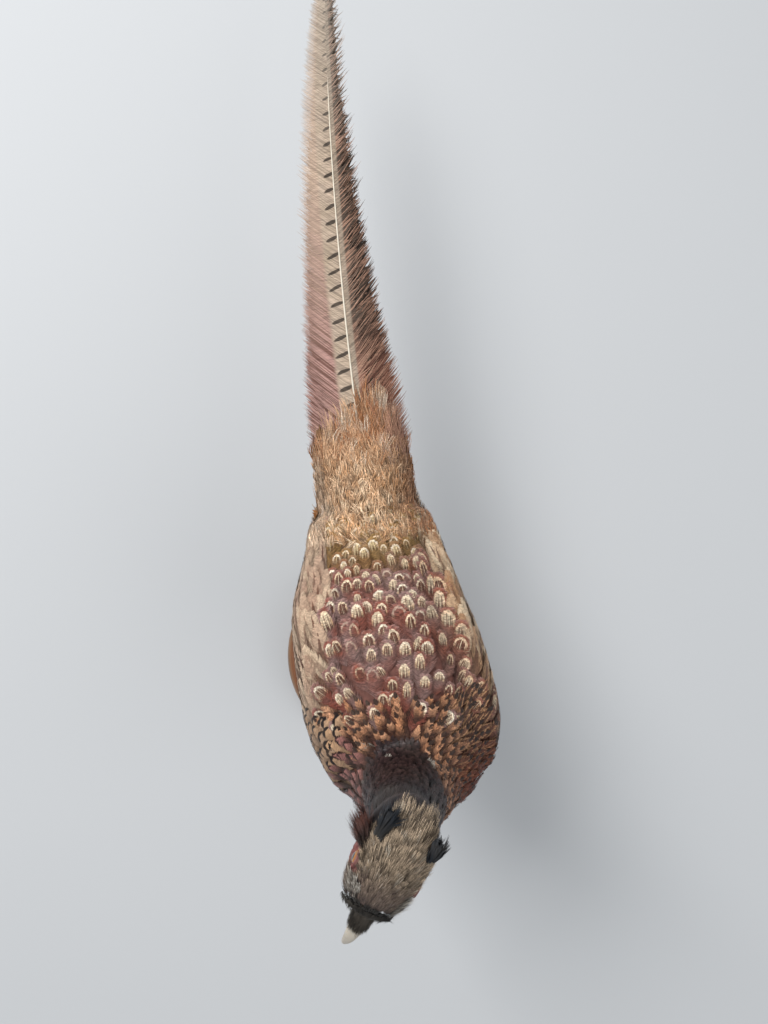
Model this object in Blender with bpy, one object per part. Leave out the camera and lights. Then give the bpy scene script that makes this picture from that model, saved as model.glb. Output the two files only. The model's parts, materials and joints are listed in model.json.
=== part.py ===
"""A cock pheasant, mounted standing on a round turned plinth, at life size.

Units are metres, with +Z up. The bird faces -Y and its left side is at +X. The origin is the centre
of the plinth's underside. Outlines are given in centimetres at a few stations along each part and
read from a smooth curve through them; CM turns them to metres. Neighbours are parted by thin gaps.
"""

import math

import bmesh
import bpy
import numpy as np
from mathutils import Vector

CM = 0.01
GAP = 0.0004  # between solids that meet
# Points round each part's sections, fewer on the smaller parts.
RING = 22
NECK_RING = 18
BALL_RING = 20
THIGH_RING = 16
SHANK_RING = 12
BILL_RING = 12
EYE_RING = 12
TUFT_RING = 10
FOOT_RING = 10
TOE_RING = 8
SPUR_RING = 8

# The plinth, a turned disc with a rounded rim over a small step.
PLINTH_RADIUS = 8.5 * CM
PLINTH_HEIGHT = 2.5 * CM
PLINTH_STEP = 0.35 * CM
PLINTH_FOOT = 0.7 * CM
PLINTH_SIDES = 48
PLINTH_ARC = 4

# The trunk with its feathers, without the wings: y, half width, height above and below the axis,
# the axis's x and z.
TRUNK = (
    (-8.7, 0.0, 0.0, 0.0, 0.2, 19.6),
    (-7.9, 2.1, 2.5, 2.6, 0.1, 19.6),
    (-6.3, 4.3, 4.7, 4.3, 0.5, 19.6),
    (-4.0, 5.3, 6.2, 5.5, 0.65, 19.6),
    (-0.5, 5.85, 7.1, 6.3, 0.38, 19.6),
    (3.5, 5.65, 6.8, 6.4, 0.05, 19.4),
    (7.5, 5.05, 5.7, 5.3, -0.35, 19.2),
    (11.0, 4.2, 4.3, 3.4, -0.15, 19.0),
    (13.2, 3.85, 3.4, 2.6, -0.15, 18.9),
    (17.0, 3.4, 2.2, 1.5, -0.2, 18.9),
)
TRUNK_END = 13.2  # y of the vent, where the tail coverts begin
TRUNK_SECTIONS = 16
TRUNK_SPACING = 1.4  # power that draws the sections together at the round breast
TRUNK_SQUARE = 2.25  # power of the section's superellipse, 2 being a plain ellipse

# The neck: centre x, y, z, half width, half depth.
NECK = (
    (0.10, -3.5, 21.0, 4.2, 4.5),
    (0.00, -3.9, 24.3, 3.6, 3.7),
    (-0.25, -3.8, 26.9, 2.6, 2.8),
    (-0.55, -3.5, 29.4, 2.2, 2.4),
    (-1.00, -3.1, 32.0, 1.9, 2.1),
    (-1.35, -2.85, 34.2, 1.65, 1.85),
    (-1.50, -2.8, 36.2, 1.3, 1.4),
)
NECK_SPLIT = 27.8  # height of the cut between the lower and the upper neck

# The head, along its own axis: distance from the nape, half width, height above and below the axis.
HEAD = (
    (0.0, 0.0, 0.0, 0.0),
    (0.7, 1.4, 1.15, 1.45),
    (2.0, 1.85, 1.6, 2.1),
    (3.2, 1.9, 1.65, 2.2),
    (4.4, 1.85, 1.45, 1.95),
    (5.3, 1.72, 1.15, 1.5),
    (6.0, 1.35, 0.85, 1.05),
)
HEAD_RING = 18
HEAD_SHARES = (0.015, 0.07, 0.16, 0.28, 0.41, 0.54, 0.67, 0.79, 0.9, 1.0)
NAPE = Vector((-0.05, -0.8, 36.1))
HEAD_TURN = math.radians(34)  # to the bird's right
HEAD_DROOP = math.radians(4)

# The bill beyond the face: distance forward, half width, height of culmen and of cutting edge.
UPPER_BILL = (
    (6.04, 0.60, 0.56, -0.16),
    (6.7, 0.50, 0.46, -0.20),
    (7.4, 0.39, 0.27, -0.27),
    (8.1, 0.26, -0.08, -0.50),
    (8.55, 0.10, -0.56, -0.90),
)
LOWER_BILL = (
    (6.04, 0.54, -0.22, -0.76),
    (6.8, 0.42, -0.28, -0.76),
    (7.5, 0.28, -0.38, -0.80),
    (8.0, 0.10, -0.62, -0.80),
)
BILL_SECTIONS = 9
BILL_SQUARE = 2.4  # power of the bill's section

EYE_RADIUS = 0.52 * CM
EYE_SEAT = (3.85, 1.53, 0.3)  # along the head, to the side, up
WATTLE_SEAT = (3.8, 1.4, -0.2)
WATTLE_RADII = (1.45, 0.62, 1.2)
EAR_ROOT = (2.3, 1.35, 1.0)
EAR_TIP = (0.8, 1.6, 1.6)
EAR_RADII = (0.36, 0.1)
EAR_SINK = 0.3  # share of its length that starts inside the head
EAR_ARCH = 0.12  # its middle's rise above a straight line
EAR_MIDDLE = (0.8, 0.6)  # width and depth there, as shares of the root's

# The folded wing, laid on the trunk: share of length, y, middle angle, half spread, thickness.
# Angles go round the trunk's section, in degrees above the horizontal.
WING = (
    (0.0, -5.6, 2, 8, 0.25),
    (0.12, -3.9, 4, 24, 0.6),
    (0.3, -0.6, 6, 33, 0.85),
    (0.5, 3.6, 7, 35, 0.9),
    (0.7, 7.8, 6, 32, 0.8),
    (0.88, 11.2, 3, 22, 0.5),
    (1.0, 13.1, -2, 8, 0.25),
)
WING_LIFT = 0.06  # clear of the trunk
WING_EDGE = 0.1  # thickness at the wing's rim
WING_SPLIT = 0.56  # share of length where the coverts give way to the flight feathers
WING_CUT = 0.001  # half the gap there, as a share of length

# The tail surface that all its feathers follow, and each feather's own outline on it.
TAIL_START = 13.6
TAIL_LEVEL = 18.85
TAIL_LEVEL_AT = 16.0
TAIL_DROOP = 0.0034  # cm of fall per square cm of run
TAIL_ARCH = 0.085  # cm of fall per square cm of half width
TAIL_SWING_AT = 20.0
TAIL_SWING = 0.00165  # cm to the bird's left per square cm of run
TAIL_OFFSET = -0.15
TAIL_SECTIONS = 9
# A feather's width at its root, how fast it fills out, and the curve of its taper to the tip.
VANE_START = 0.5
VANE_GROWTH = 2.6
VANE_TAPER = (2.1, 0.8)
VANE_TIP = 0.06
FEATHER_THICK = 0.1
LAYER = 0.17  # from one feather down to the next
# name, length from TAIL_START, side shift at root and at tip, vane to the bird's right, to its left, layer
TAIL_FEATHERS = (
    ("tail_feather_central_right", 43.6, 0.0, -0.1, 2.8, 1.5, 0),
    ("tail_feather_central_left", 46.0, 0.35, 0.1, 1.7, 1.6, 1),
    ("tail_feather_second_right", 33.0, -0.9, -0.7, 2.0, 1.6, 2),
    ("tail_feather_second_left", 31.0, 1.1, 0.8, 1.6, 1.5, 3),
    ("tail_feather_third_right", 24.5, -1.5, -1.2, 2.0, 1.6, 4),
    ("tail_feather_third_left", 23.0, 1.6, 1.3, 1.6, 1.7, 5),
    ("tail_feather_outer_right", 17.0, -1.9, -1.7, 1.8, 1.4, 6),
    ("tail_feather_outer_left", 16.5, 1.9, 1.7, 1.4, 2.0, 7),
)

# The coverts over and under the tail: y, half width, top or bottom z.
UPPER_COVERTS = (
    (13.24, 3.7, 22.3),
    (15.5, 3.6, 21.3),
    (18.5, 3.5, 20.3),
    (21.6, 2.6, 19.5),
    (23.6, 0.9, 18.95),
)
UNDER_COVERTS = (
    (13.24, 3.1, 16.4),
    (15.5, 2.9, 16.0),
    (18.5, 2.4, 15.9),
    (21.5, 1.5, 16.1),
    (23.0, 0.5, 16.6),
)
COVERT_EDGE = 0.08  # thickness at the coverts' rim
COVERT_LIFT = 0.06  # clear of the tail
COVERT_LEAST = 0.12  # height of their roof at the very tip

# The legs: the feathered thigh, the bare shank and the toes.
LEG_SIDE = 3.1
HOCK = 10.0  # height of the cut between thigh and shank
# x offset, y, z, half width, half depth
THIGH = (
    (-0.7, 3.0, 15.9, 2.3, 3.2),
    (-0.1, 2.9, 13.4, 2.1, 2.9),
    (0.1, 3.5, 11.3, 1.4, 1.8),
    (0.1, 4.1, 9.6, 0.68, 0.85),
)
SHANK = (
    (0.1, 4.15, 10.3, 0.5, 0.56),
    (0.08, 3.85, 9.3, 0.48, 0.54),
    (0.04, 2.6, 6.4, 0.38, 0.46),
    (0.0, 1.5, 3.75, 0.42, 0.48),
    (0.0, 1.2, 3.05, 0.46, 0.48),
)
SPUR = ((-0.1, 2.3, 5.6, 0.3, 0.3), (-0.15, 3.0, 5.65, 0.22, 0.22), (-0.2, 3.85, 5.95, 0.05, 0.05))
FOOT_CENTRE = (0.0, 1.0)
FOOT_LIFT = 0.03  # clear of the plinth's top
FOOT_BALL = (0.6, 0.7, 0.5)  # radii of the pad where the toes meet
FOOT_BALL_SEAT = (0.1, 0.55)  # behind the foot's centre, above the plinth
# name, heading from straight ahead to the outer side in degrees, length, thickness
TOES = (("inner", -34, 4.1, 0.36), ("middle", 2, 5.6, 0.4), ("outer", 38, 4.4, 0.36), ("hind", 188, 1.9, 0.3))
CLAW_SHARE = 0.24  # of a toe's length
# Share of the toe's or the claw's length, rise of the middle above resting, share of the thickness.
TOE_SHAPE = ((0.0, 0.14, 1.0), (0.35, 0.16, 0.95), (0.7, 0.0, 0.85), (1.0, 0.0, 0.8))
CLAW_SHAPE = ((0.35, 0.12, 0.5), (0.75, 0.02, 0.3), (1.0, 0.0, 0.12))
FAR = 60.0  # beyond every part, for flat cuts


def smooth_course(rows, rounded=()):
    """A function of the first column that gives the others, on a smooth curve that never overshoots.

    Columns in rounded are read through their squares, so that a part that starts at 0 has a round end.
    """
    table = np.array(rows, float)
    x, values = table[:, 0], table[:, 1:].copy()
    squares = [c - 1 for c in rounded]
    values[:, squares] **= 2
    slopes = np.diff(values, axis=0) / np.diff(x)[:, None]
    tangents = np.zeros_like(values)
    tangents[0], tangents[-1] = slopes[0], slopes[-1]
    before, after = slopes[:-1], slopes[1:]
    same_way = before * after > 0
    mean = 2 * before * after / np.where(same_way, before + after, 1)
    tangents[1:-1] = np.where(same_way, mean, 0)

    def at(place):
        place = min(max(place, x[0]), x[-1])
        i = min(int(np.searchsorted(x, place, side="right")) - 1, len(x) - 2)
        width = x[i + 1] - x[i]
        t = (place - x[i]) / width
        found = (
            (1 + 2 * t) * (1 - t) ** 2 * values[i]
            + t * (1 - t) ** 2 * width * tangents[i]
            + t * t * (3 - 2 * t) * values[i + 1]
            + t * t * (t - 1) * width * tangents[i + 1]
        )
        found[squares] = np.sqrt(np.maximum(found[squares], 0))
        return found

    return at


def material(name, colour, roughness, metallic=0.0):
    made = bpy.data.materials.new(name)
    made.use_nodes = True
    shader = made.node_tree.nodes["Principled BSDF"]
    shader.inputs["Base Color"].default_value = (*colour, 1)
    shader.inputs["Roughness"].default_value = roughness
    shader.inputs["Metallic"].default_value = metallic
    return made


def add_object(name, bm, finish):
    bmesh.ops.recalc_face_normals(bm, faces=bm.faces)
    mesh = bpy.data.meshes.new(name)
    bm.to_mesh(mesh)
    bm.free()
    made = bpy.data.objects.new(name, mesh)
    bpy.context.scene.collection.objects.link(made)
    if finish:
        mesh.materials.append(finish)
        mesh.shade_smooth()
    return made


def loft(name, rings, finish=None):
    """One closed solid through rings of points of one count. A ring of one point ends it."""
    bm = bmesh.new()
    made = [[bm.verts.new(Vector(p) * CM) for p in ring] for ring in rings]
    for one, two in zip(made, made[1:]):
        count = max(len(one), len(two))
        for i in range(count):
            j = (i + 1) % count
            if len(one) == 1:
                bm.faces.new((one[0], two[i], two[j]))
            elif len(two) == 1:
                bm.faces.new((one[i], one[j], two[0]))
            else:
                bm.faces.new((one[i], one[j], two[j], two[i]))
    for end in (made[0], made[-1]):
        if len(end) > 1:
            bm.faces.new(end)
    return add_object(name, bm, finish)


def oval(centre, across, up, half_width, above, below, count=RING, power=2.0):
    """A ring round centre in the plane of across and up, with its own height above and below."""
    centre, across, up = Vector(centre), Vector(across), Vector(up)
    ring = []
    for i in range(count):
        turn = math.tau * (i + 0.5) / count
        c, s = math.cos(turn), math.sin(turn)
        x = math.copysign(abs(c) ** (2 / power), c) * half_width
        z = math.copysign(abs(s) ** (2 / power), s) * (above if s > 0 else below)
        ring.append(centre + across * x + up * z)
    return ring


def tube(name, stations, finish, count=10, mirror=1, grow=0.0):
    """A loft along a path of (x, y, z, half width, half depth) rows, square to the path."""
    read = smooth_course([(i, *row) for i, row in enumerate(stations)])
    steps = np.linspace(0, len(stations) - 1, 2 * (len(stations) - 1) + 1)
    rows = [read(step) for step in steps]
    rings = []
    for i, row in enumerate(rows):
        ahead = Vector(rows[min(i + 1, len(rows) - 1)][:3]) - Vector(rows[max(i - 1, 0)][:3])
        depth = Vector((1, 0, 0)).cross(ahead).normalized()
        across = ahead.cross(depth).normalized()
        width, thick = row[3] + grow, row[4] + grow
        ring = oval(row[:3], across, depth, width, thick, thick, count)
        rings.append([Vector((p.x * mirror, p.y, p.z)) for p in ring])
    return loft(name, rings, finish)


def cut(target, cutters, operation="DIFFERENCE"):
    """Cuts target with each cutter, or joins them to it, and removes the cutters."""
    for cutter in cutters:
        boolean = target.modifiers.new(cutter.name, "BOOLEAN")
        boolean.operation = operation
        boolean.solver = "EXACT"
        boolean.object = cutter
        graph = bpy.context.evaluated_depsgraph_get()
        mesh = bpy.data.meshes.new_from_object(target.evaluated_get(graph))
        target.modifiers.clear()
        target.data = mesh
        bpy.data.objects.remove(cutter)
    return target


def slab(height_low, height_high):
    """A wide flat cutter between two heights, in cm."""
    bm = bmesh.new()
    bmesh.ops.create_cube(bm, size=1)
    size = Vector((FAR, FAR, height_high - height_low)) * CM
    bmesh.ops.scale(bm, vec=size, verts=bm.verts)
    middle = Vector((0, 0, (height_low + height_high) / 2)) * CM
    bmesh.ops.translate(bm, vec=middle, verts=bm.verts)
    return add_object("slab_cutter", bm, None)


trunk_at = smooth_course(TRUNK, rounded=(1, 2, 3))
head_at = smooth_course(HEAD, rounded=(1, 2, 3))
wing_at = smooth_course(WING)


def trunk_section(y, grow=0.0):
    half_width, above, below, middle, level = trunk_at(y)
    sizes = (half_width + grow, above + grow, below + grow)
    return oval((middle, y, level), (1, 0, 0), (0, 0, 1), *sizes, RING, TRUNK_SQUARE)


def trunk(name, finish=None, grow=0.0):
    """The trunk to the vent, with closer sections at the round breast. A cutter's grow makes it larger."""
    first, last = TRUNK[0][0], TRUNK_END + grow
    shares = np.linspace(0, 1, TRUNK_SECTIONS)[1:] ** TRUNK_SPACING
    rings = [[(TRUNK[0][4], first - grow, TRUNK[0][5])]]
    rings += [trunk_section(first + (last - first) * share, grow) for share in shares]
    return loft(name, rings, finish)


def head_axes():
    """Directions forward, to the bird's left and up, for the turned and drooping head."""
    flat = Vector((-math.sin(HEAD_TURN), -math.cos(HEAD_TURN), 0))
    left = Vector((math.cos(HEAD_TURN), -math.sin(HEAD_TURN), 0))
    ahead = flat * math.cos(HEAD_DROOP) - Vector((0, 0, math.sin(HEAD_DROOP)))
    return ahead, left, left.cross(ahead) * -1


def head_point(along, side, rise):
    ahead, left, up = head_axes()
    return NAPE + ahead * along + left * side + up * rise


def head(name, finish=None, grow=0.0):
    _, left, up = head_axes()
    length = HEAD[-1][0]
    rings = [[head_point(-grow, 0, 0)]]
    for share in HEAD_SHARES:
        sizes = head_at(share * length) + grow
        rings.append(oval(head_point(share * length, 0, 0), left, up, *sizes, HEAD_RING))
    return loft(name, rings, finish)


def bill_half(name, stations, finish):
    """Half of the bill, a flat-bottomed taper that bends down to its tip."""
    _, left, up = head_axes()
    read = smooth_course(stations)
    first, last = stations[0][0], stations[-1][0]
    rings = []
    for place in np.linspace(first, last, BILL_SECTIONS):
        half_width, top, bottom = read(place)
        middle = (top + bottom) / 2
        half = (top - bottom) / 2
        centre = head_point(place, 0, middle)
        rings.append(oval(centre, left, up, half_width, half, half, BILL_RING, BILL_SQUARE))
    return loft(name, rings, finish)


def ball(name, centre, radii, axes, finish=None, segments=BALL_RING):
    """An ellipsoid at centre, in cm, with its radii along three axes."""
    bm = bmesh.new()
    bmesh.ops.create_uvsphere(bm, u_segments=segments, v_segments=segments // 2, radius=1)
    for vert in bm.verts:
        local = vert.co.copy()
        vert.co = (centre + sum((a * r * c for a, r, c in zip(axes, radii, local)), Vector())) * CM
    return add_object(name, bm, finish)


def eye(name, side, finish=None, grow=0.0):
    along, out, rise = EYE_SEAT
    radius = EYE_RADIUS / CM + grow
    return ball(name, head_point(along, out * side, rise), (radius,) * 3, head_axes(), finish, EYE_RING)


def head_and_neck_cutters():
    grow = GAP / CM
    return head("head_cutter", grow=grow), tube("neck_cutter", NECK, None, NECK_RING, grow=grow)


def wattle(name, side, finish):
    along, out, rise = WATTLE_SEAT
    length, depth, height = WATTLE_RADII
    made = ball(name, head_point(along, out * side, rise), (length, depth, height), head_axes(), finish)
    return cut(made, [*head_and_neck_cutters(), eye("eye_cutter", side, grow=GAP / CM)])


def ear_tuft(name, side, finish):
    root = head_point(EAR_ROOT[0], EAR_ROOT[1] * side, EAR_ROOT[2])
    tip = head_point(EAR_TIP[0], EAR_TIP[1] * side, EAR_TIP[2])
    inner = root - (tip - root) * EAR_SINK
    middle = (root + tip) / 2 + Vector((0, 0, EAR_ARCH))
    thick, thin = EAR_RADII
    waist = [thick * share for share in EAR_MIDDLE]
    sizes = ((thick, thick), (thick, thick), waist, (thin, thin))
    rows = [(*place, *size) for place, size in zip((inner, root, middle, tip), sizes)]
    return cut(tube(name, rows, finish, TUFT_RING), head_and_neck_cutters())


def neck_parts(finish_low, finish_high):
    """The neck, cut clear of the trunk and head and parted at its white ring."""
    grow = GAP / CM
    lower = tube("neck_lower", NECK, finish_low, NECK_RING)
    upper = tube("neck_upper", NECK, finish_high, NECK_RING)
    cut(lower, [trunk("trunk_cutter", grow=grow), slab(NECK_SPLIT, FAR)])
    cut(upper, [slab(0, NECK_SPLIT + grow), head("head_cutter", grow=grow)])
    return lower, upper


def wing_point(share, spread, depth, side):
    """A point of the wing: share of its length, spread across it from -1 to 1, depth 0 at the trunk to 1."""
    y, middle_angle, half_angle, thick = wing_at(share)
    angle = math.radians(middle_angle + half_angle * spread)
    half_width, above, below, middle, level = trunk_at(y)
    rim = math.sqrt(max(0.0, 1 - spread**4))
    lift = WING_LIFT + depth * (WING_EDGE + (thick - WING_EDGE) * rim)
    c, s = math.cos(angle), math.sin(angle)
    x = c ** (2 / TRUNK_SQUARE) * (half_width + lift)
    z = math.copysign(abs(s) ** (2 / TRUNK_SQUARE), s) * ((above if s > 0 else below) + lift)
    return Vector((middle + x * side, y, level + z))


def wing_part(name, side, start, end, steps, finish):
    """A stretch of the folded wing between two shares of its length, as a shell hugging the trunk."""
    spreads = np.linspace(-1, 1, 9)
    rings = []
    for share in np.linspace(start, end, steps):
        outer = [wing_point(share, spread, 1, side) for spread in spreads]
        inner = [wing_point(share, spread, 0, side) for spread in spreads[::-1]]
        rings.append(outer + inner)
    return loft(name, rings, finish)


def tail_surface(x, y, drop):
    """A point of the arched, drooping surface that the tail's feathers follow, drop cm below its top."""
    run = max(0.0, y - TAIL_LEVEL_AT)
    swing = TAIL_OFFSET + TAIL_SWING * max(0.0, y - TAIL_SWING_AT) ** 2
    return Vector((x + swing, y, TAIL_LEVEL - TAIL_DROOP * run * run - TAIL_ARCH * x * x - drop))


def tail_feather(name, length, root, tip, right, left, layer, finish):
    """A long blade, as wide as its fringes, that narrows slowly to a point."""
    drop = layer * LAYER
    rings = []
    for share in np.linspace(0, 1, TAIL_SECTIONS):
        y = TAIL_START + length * share
        shift = root + (tip - root) * share
        taper = max(0.0, 1 - share ** VANE_TAPER[0]) ** VANE_TAPER[1]
        width = min(1.0, VANE_START + VANE_GROWTH * share) * taper + VANE_TIP
        places = np.linspace(shift - right * width, shift + left * width, 5)
        top = [tail_surface(x, y, drop) for x in places]
        under = [tail_surface(x, y, drop + FEATHER_THICK) for x in places[::-1]]
        rings.append(top + under)
    return loft(name, rings, finish)


def upper_coverts(finish):
    read = smooth_course(UPPER_COVERTS)
    rings = []
    for y in np.linspace(UPPER_COVERTS[0][0], UPPER_COVERTS[-1][0], 9):
        half_width, top = read(y)
        places = np.linspace(-1, 1, 11)
        roof = []
        for place in places:
            floor = tail_surface(place * half_width, y, -COVERT_LIFT)
            rise = max(top - tail_surface(0, y, 0).z, COVERT_LEAST)
            arch = math.sqrt(max(0.0, 1 - place * place))
            roof.append(floor + Vector((0, 0, COVERT_EDGE + rise * arch)))
        floor = [tail_surface(place * half_width, y, -COVERT_LIFT) for place in places[::-1]]
        rings.append(roof + floor)
    return loft("tail_coverts_upper", rings, finish)


def under_coverts(finish):
    read = smooth_course(UNDER_COVERTS)
    under_tail = LAYER * len(TAIL_FEATHERS) + FEATHER_THICK
    rings = []
    for y in np.linspace(UNDER_COVERTS[0][0], UNDER_COVERTS[-1][0], 8):
        half_width, bottom = read(y)
        places = np.linspace(-1, 1, 11)
        roof = [tail_surface(place * half_width, y, under_tail) for place in places]
        hull = []
        for place, top in zip(places[::-1], roof[::-1]):
            depth = max(roof[len(roof) // 2].z - bottom, COVERT_LEAST)
            arch = math.sqrt(max(0.0, 1 - place * place))
            hull.append(top - Vector((0, 0, COVERT_EDGE + depth * arch)))
        rings.append(roof + hull)
    return loft("tail_coverts_under", rings, finish)


def toe_path(heading, length, thick):
    """Rows of a toe and its claw: low at the ball, arched at the joint, flat, then the claw curving down."""
    turn = math.radians(heading)
    sideways, ahead = math.sin(turn), -math.cos(turn)
    floor = PLINTH_HEIGHT / CM + FOOT_LIFT
    toe = length * (1 - CLAW_SHARE)
    reaches = [(toe * share, rise, size) for share, rise, size in TOE_SHAPE]
    reaches += [(toe + length * CLAW_SHARE * share, rise, size) for share, rise, size in CLAW_SHAPE]
    rows = []
    for reach, rise, size in reaches:
        half = thick * size
        x = FOOT_CENTRE[0] + sideways * reach
        y = FOOT_CENTRE[1] + ahead * reach
        rows.append((x, y, floor + half + rise, half, half))
    return rows


def toe(name, rows, side, finish):
    """A toe lofted along its heading; its sections stand upright, so that its underside stays level."""
    first, last = Vector(rows[0][:3]), Vector(rows[-1][:3])
    ahead = Vector((last.x - first.x, last.y - first.y, 0)).normalized()
    across = Vector((-ahead.y, ahead.x, 0))
    rings = []
    for x, y, z, half_width, half_height in rows:
        ring = oval((x, y, z), across, (0, 0, 1), half_width, half_height, half_height, TOE_RING)
        rings.append([Vector((side * (LEG_SIDE + p.x), p.y, p.z)) for p in ring])
    return loft(name, rings, finish)


def leg(side, word, feather_finish, horn_finish):
    """One leg: thigh in feathers, bare shank with its spur, and a foot of four toes with claws."""
    shifted = [(LEG_SIDE + x, *rest) for x, *rest in THIGH]
    thigh = tube(f"thigh_{word}", shifted, feather_finish, THIGH_RING, side)
    cut(thigh, [trunk("trunk_cutter", grow=GAP / CM), slab(0, HOCK)])
    shank_rows = [(LEG_SIDE + x, *rest) for x, *rest in SHANK]
    spur_rows = [(LEG_SIDE + x, *rest) for x, *rest in SPUR]
    shank = tube(f"shank_{word}", shank_rows, horn_finish, SHANK_RING, side)
    cut(shank, [slab(HOCK - GAP / CM, FAR)])
    cut(shank, [tube("spur_part", spur_rows, None, SPUR_RING, side)], "UNION")
    parts = [toe(f"toe_part_{name}", toe_path(*shape), side, None) for name, *shape in TOES]
    behind, above = FOOT_BALL_SEAT
    ball_of_foot = Vector((side * LEG_SIDE, FOOT_CENTRE[1] + behind, PLINTH_HEIGHT / CM + above))
    upright = (Vector((1, 0, 0)), Vector((0, 1, 0)), Vector((0, 0, 1)))
    foot = ball(f"foot_{word}", ball_of_foot, FOOT_BALL, upright, horn_finish, FOOT_RING)
    cut(foot, parts, "UNION")
    cut(foot, [tube("shank_cutter", shank_rows, None, SHANK_RING, side, grow=GAP / CM)])
    return thigh, shank, foot


def plinth(finish):
    """The turned base: a foot, a small step and a rounded rim, spun round the upright axis."""
    step = PLINTH_RADIUS - PLINTH_STEP
    bead = (PLINTH_HEIGHT - PLINTH_FOOT) / 2
    profile = [(0, 0), (step, 0), (step, PLINTH_FOOT)]
    for i in range(PLINTH_ARC + 1):
        turn = math.pi * (i / PLINTH_ARC - 0.5)
        out = PLINTH_RADIUS - bead + bead * math.cos(turn)
        profile.append((out, PLINTH_FOOT + bead + bead * math.sin(turn)))
    profile.append((0, PLINTH_HEIGHT))
    bm = bmesh.new()
    verts = [bm.verts.new((x, 0, z)) for x, z in profile]
    edges = [bm.edges.new(pair) for pair in zip(verts, verts[1:])]
    turning = {"cent": (0, 0, 0), "axis": (0, 0, 1), "angle": math.tau, "steps": PLINTH_SIDES}
    bmesh.ops.spin(bm, geom=verts + edges, use_merge=True, **turning)
    bmesh.ops.remove_doubles(bm, verts=bm.verts, dist=1e-6)
    return add_object("plinth", bm, finish)


def main():
    for old in list(bpy.data.objects):
        bpy.data.objects.remove(old)
    mantle = material("copper_feather", (0.42, 0.22, 0.14), 0.7)
    rump = material("tawny_feather", (0.48, 0.31, 0.16), 0.75)
    dark = material("dark_neck_feather", (0.06, 0.05, 0.06), 0.5)
    crown = material("drab_crown_feather", (0.27, 0.22, 0.16), 0.75)
    buff = material("buff_wing_feather", (0.55, 0.45, 0.33), 0.75)
    tail = material("barred_tail_feather", (0.55, 0.42, 0.32), 0.7)
    under = material("dark_belly_feather", (0.16, 0.1, 0.07), 0.75)
    ivory = material("ivory_bill_horn", (0.72, 0.64, 0.52), 0.45)
    grey = material("grey_leg_horn", (0.3, 0.26, 0.22), 0.55)
    red = material("red_face_skin", (0.36, 0.08, 0.07), 0.6)
    glass = material("amber_eye_glass", (0.3, 0.14, 0.04), 0.08)
    wood = material("varnished_wood", (0.28, 0.14, 0.06), 0.3)

    plinth(wood)
    trunk("trunk", mantle)
    neck_parts(mantle, dark)
    skull = head("head", crown)
    cut(skull, [eye("eye_cutter", side, grow=GAP / CM) for side in (1, -1)])
    bill_half("bill_upper", UPPER_BILL, ivory)
    bill_half("bill_lower", LOWER_BILL, ivory)
    for side, word in ((1, "left"), (-1, "right")):
        eye(f"eye_{word}", side, glass)
        wattle(f"wattle_{word}", side, red)
        ear_tuft(f"ear_tuft_{word}", side, dark)
        wing_part(f"wing_coverts_{word}", side, 0, WING_SPLIT - WING_CUT, 8, buff)
        wing_part(f"wing_flight_feathers_{word}", side, WING_SPLIT + WING_CUT, 1, 7, under)
        leg(side, word, under, grey)
    upper_coverts(rump)
    under_coverts(under)
    for row in TAIL_FEATHERS:
        tail_feather(*row, tail)


main()
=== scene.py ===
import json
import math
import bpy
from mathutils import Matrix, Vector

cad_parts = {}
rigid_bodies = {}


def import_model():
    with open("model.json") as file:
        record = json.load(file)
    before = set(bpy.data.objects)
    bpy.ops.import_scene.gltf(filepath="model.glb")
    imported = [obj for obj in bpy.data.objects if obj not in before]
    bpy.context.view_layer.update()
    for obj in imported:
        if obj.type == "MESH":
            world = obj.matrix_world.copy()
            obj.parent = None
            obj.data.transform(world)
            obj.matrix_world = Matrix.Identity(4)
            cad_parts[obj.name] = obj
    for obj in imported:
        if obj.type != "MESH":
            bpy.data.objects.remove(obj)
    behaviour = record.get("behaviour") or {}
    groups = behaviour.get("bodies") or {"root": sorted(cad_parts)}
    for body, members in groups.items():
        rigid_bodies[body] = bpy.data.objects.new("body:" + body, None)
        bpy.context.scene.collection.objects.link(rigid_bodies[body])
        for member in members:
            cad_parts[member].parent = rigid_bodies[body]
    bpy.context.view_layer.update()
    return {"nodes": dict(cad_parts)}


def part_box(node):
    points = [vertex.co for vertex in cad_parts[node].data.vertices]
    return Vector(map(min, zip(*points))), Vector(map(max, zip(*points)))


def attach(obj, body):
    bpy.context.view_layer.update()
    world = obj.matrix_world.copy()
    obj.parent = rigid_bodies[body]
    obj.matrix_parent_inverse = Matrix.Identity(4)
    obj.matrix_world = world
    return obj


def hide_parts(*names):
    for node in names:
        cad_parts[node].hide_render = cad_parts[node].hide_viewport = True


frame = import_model()

# The looks of a mounted cock pheasant: skin, plumage, bill, eyes, legs and its turned plinth.
#
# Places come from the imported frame, in metres: the bird faces -Y, its left side is at +X, and +Z is up.
# Plumage is solid mesh. A feather is laid tailward over the hull, which is the outer form that the frame
# gives, and each of its barbs is a thin strip from the shaft. A tuft is a spray of thin strands.

from types import SimpleNamespace

import bmesh
import bpy
import numpy as np
from mathutils import Matrix, Vector
from mathutils.bvhtree import BVHTree

MM = 0.001
CM = 0.01
SEED = 7

# The coat's depth under the hull, by region.
SKIN_DEPTH = 2.6 * MM
BODY_DEPTH = 2.4 * MM
NECK_DEPTH = 1.8 * MM
HEAD_DEPTH = 1.1 * MM
HULL_GRAIN = 2.4 * MM  # voxel size of the joined hull
TUFT_PATCH = 0.003  # width of a tuft's patch on the bake map
WIDE_PATCH = 0.05  # a marked vane's patch, in which each barb takes about 0.003
VANE_PATCH = WIDE_PATCH / 2  # the patch of a vane with half as many barbs

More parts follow.
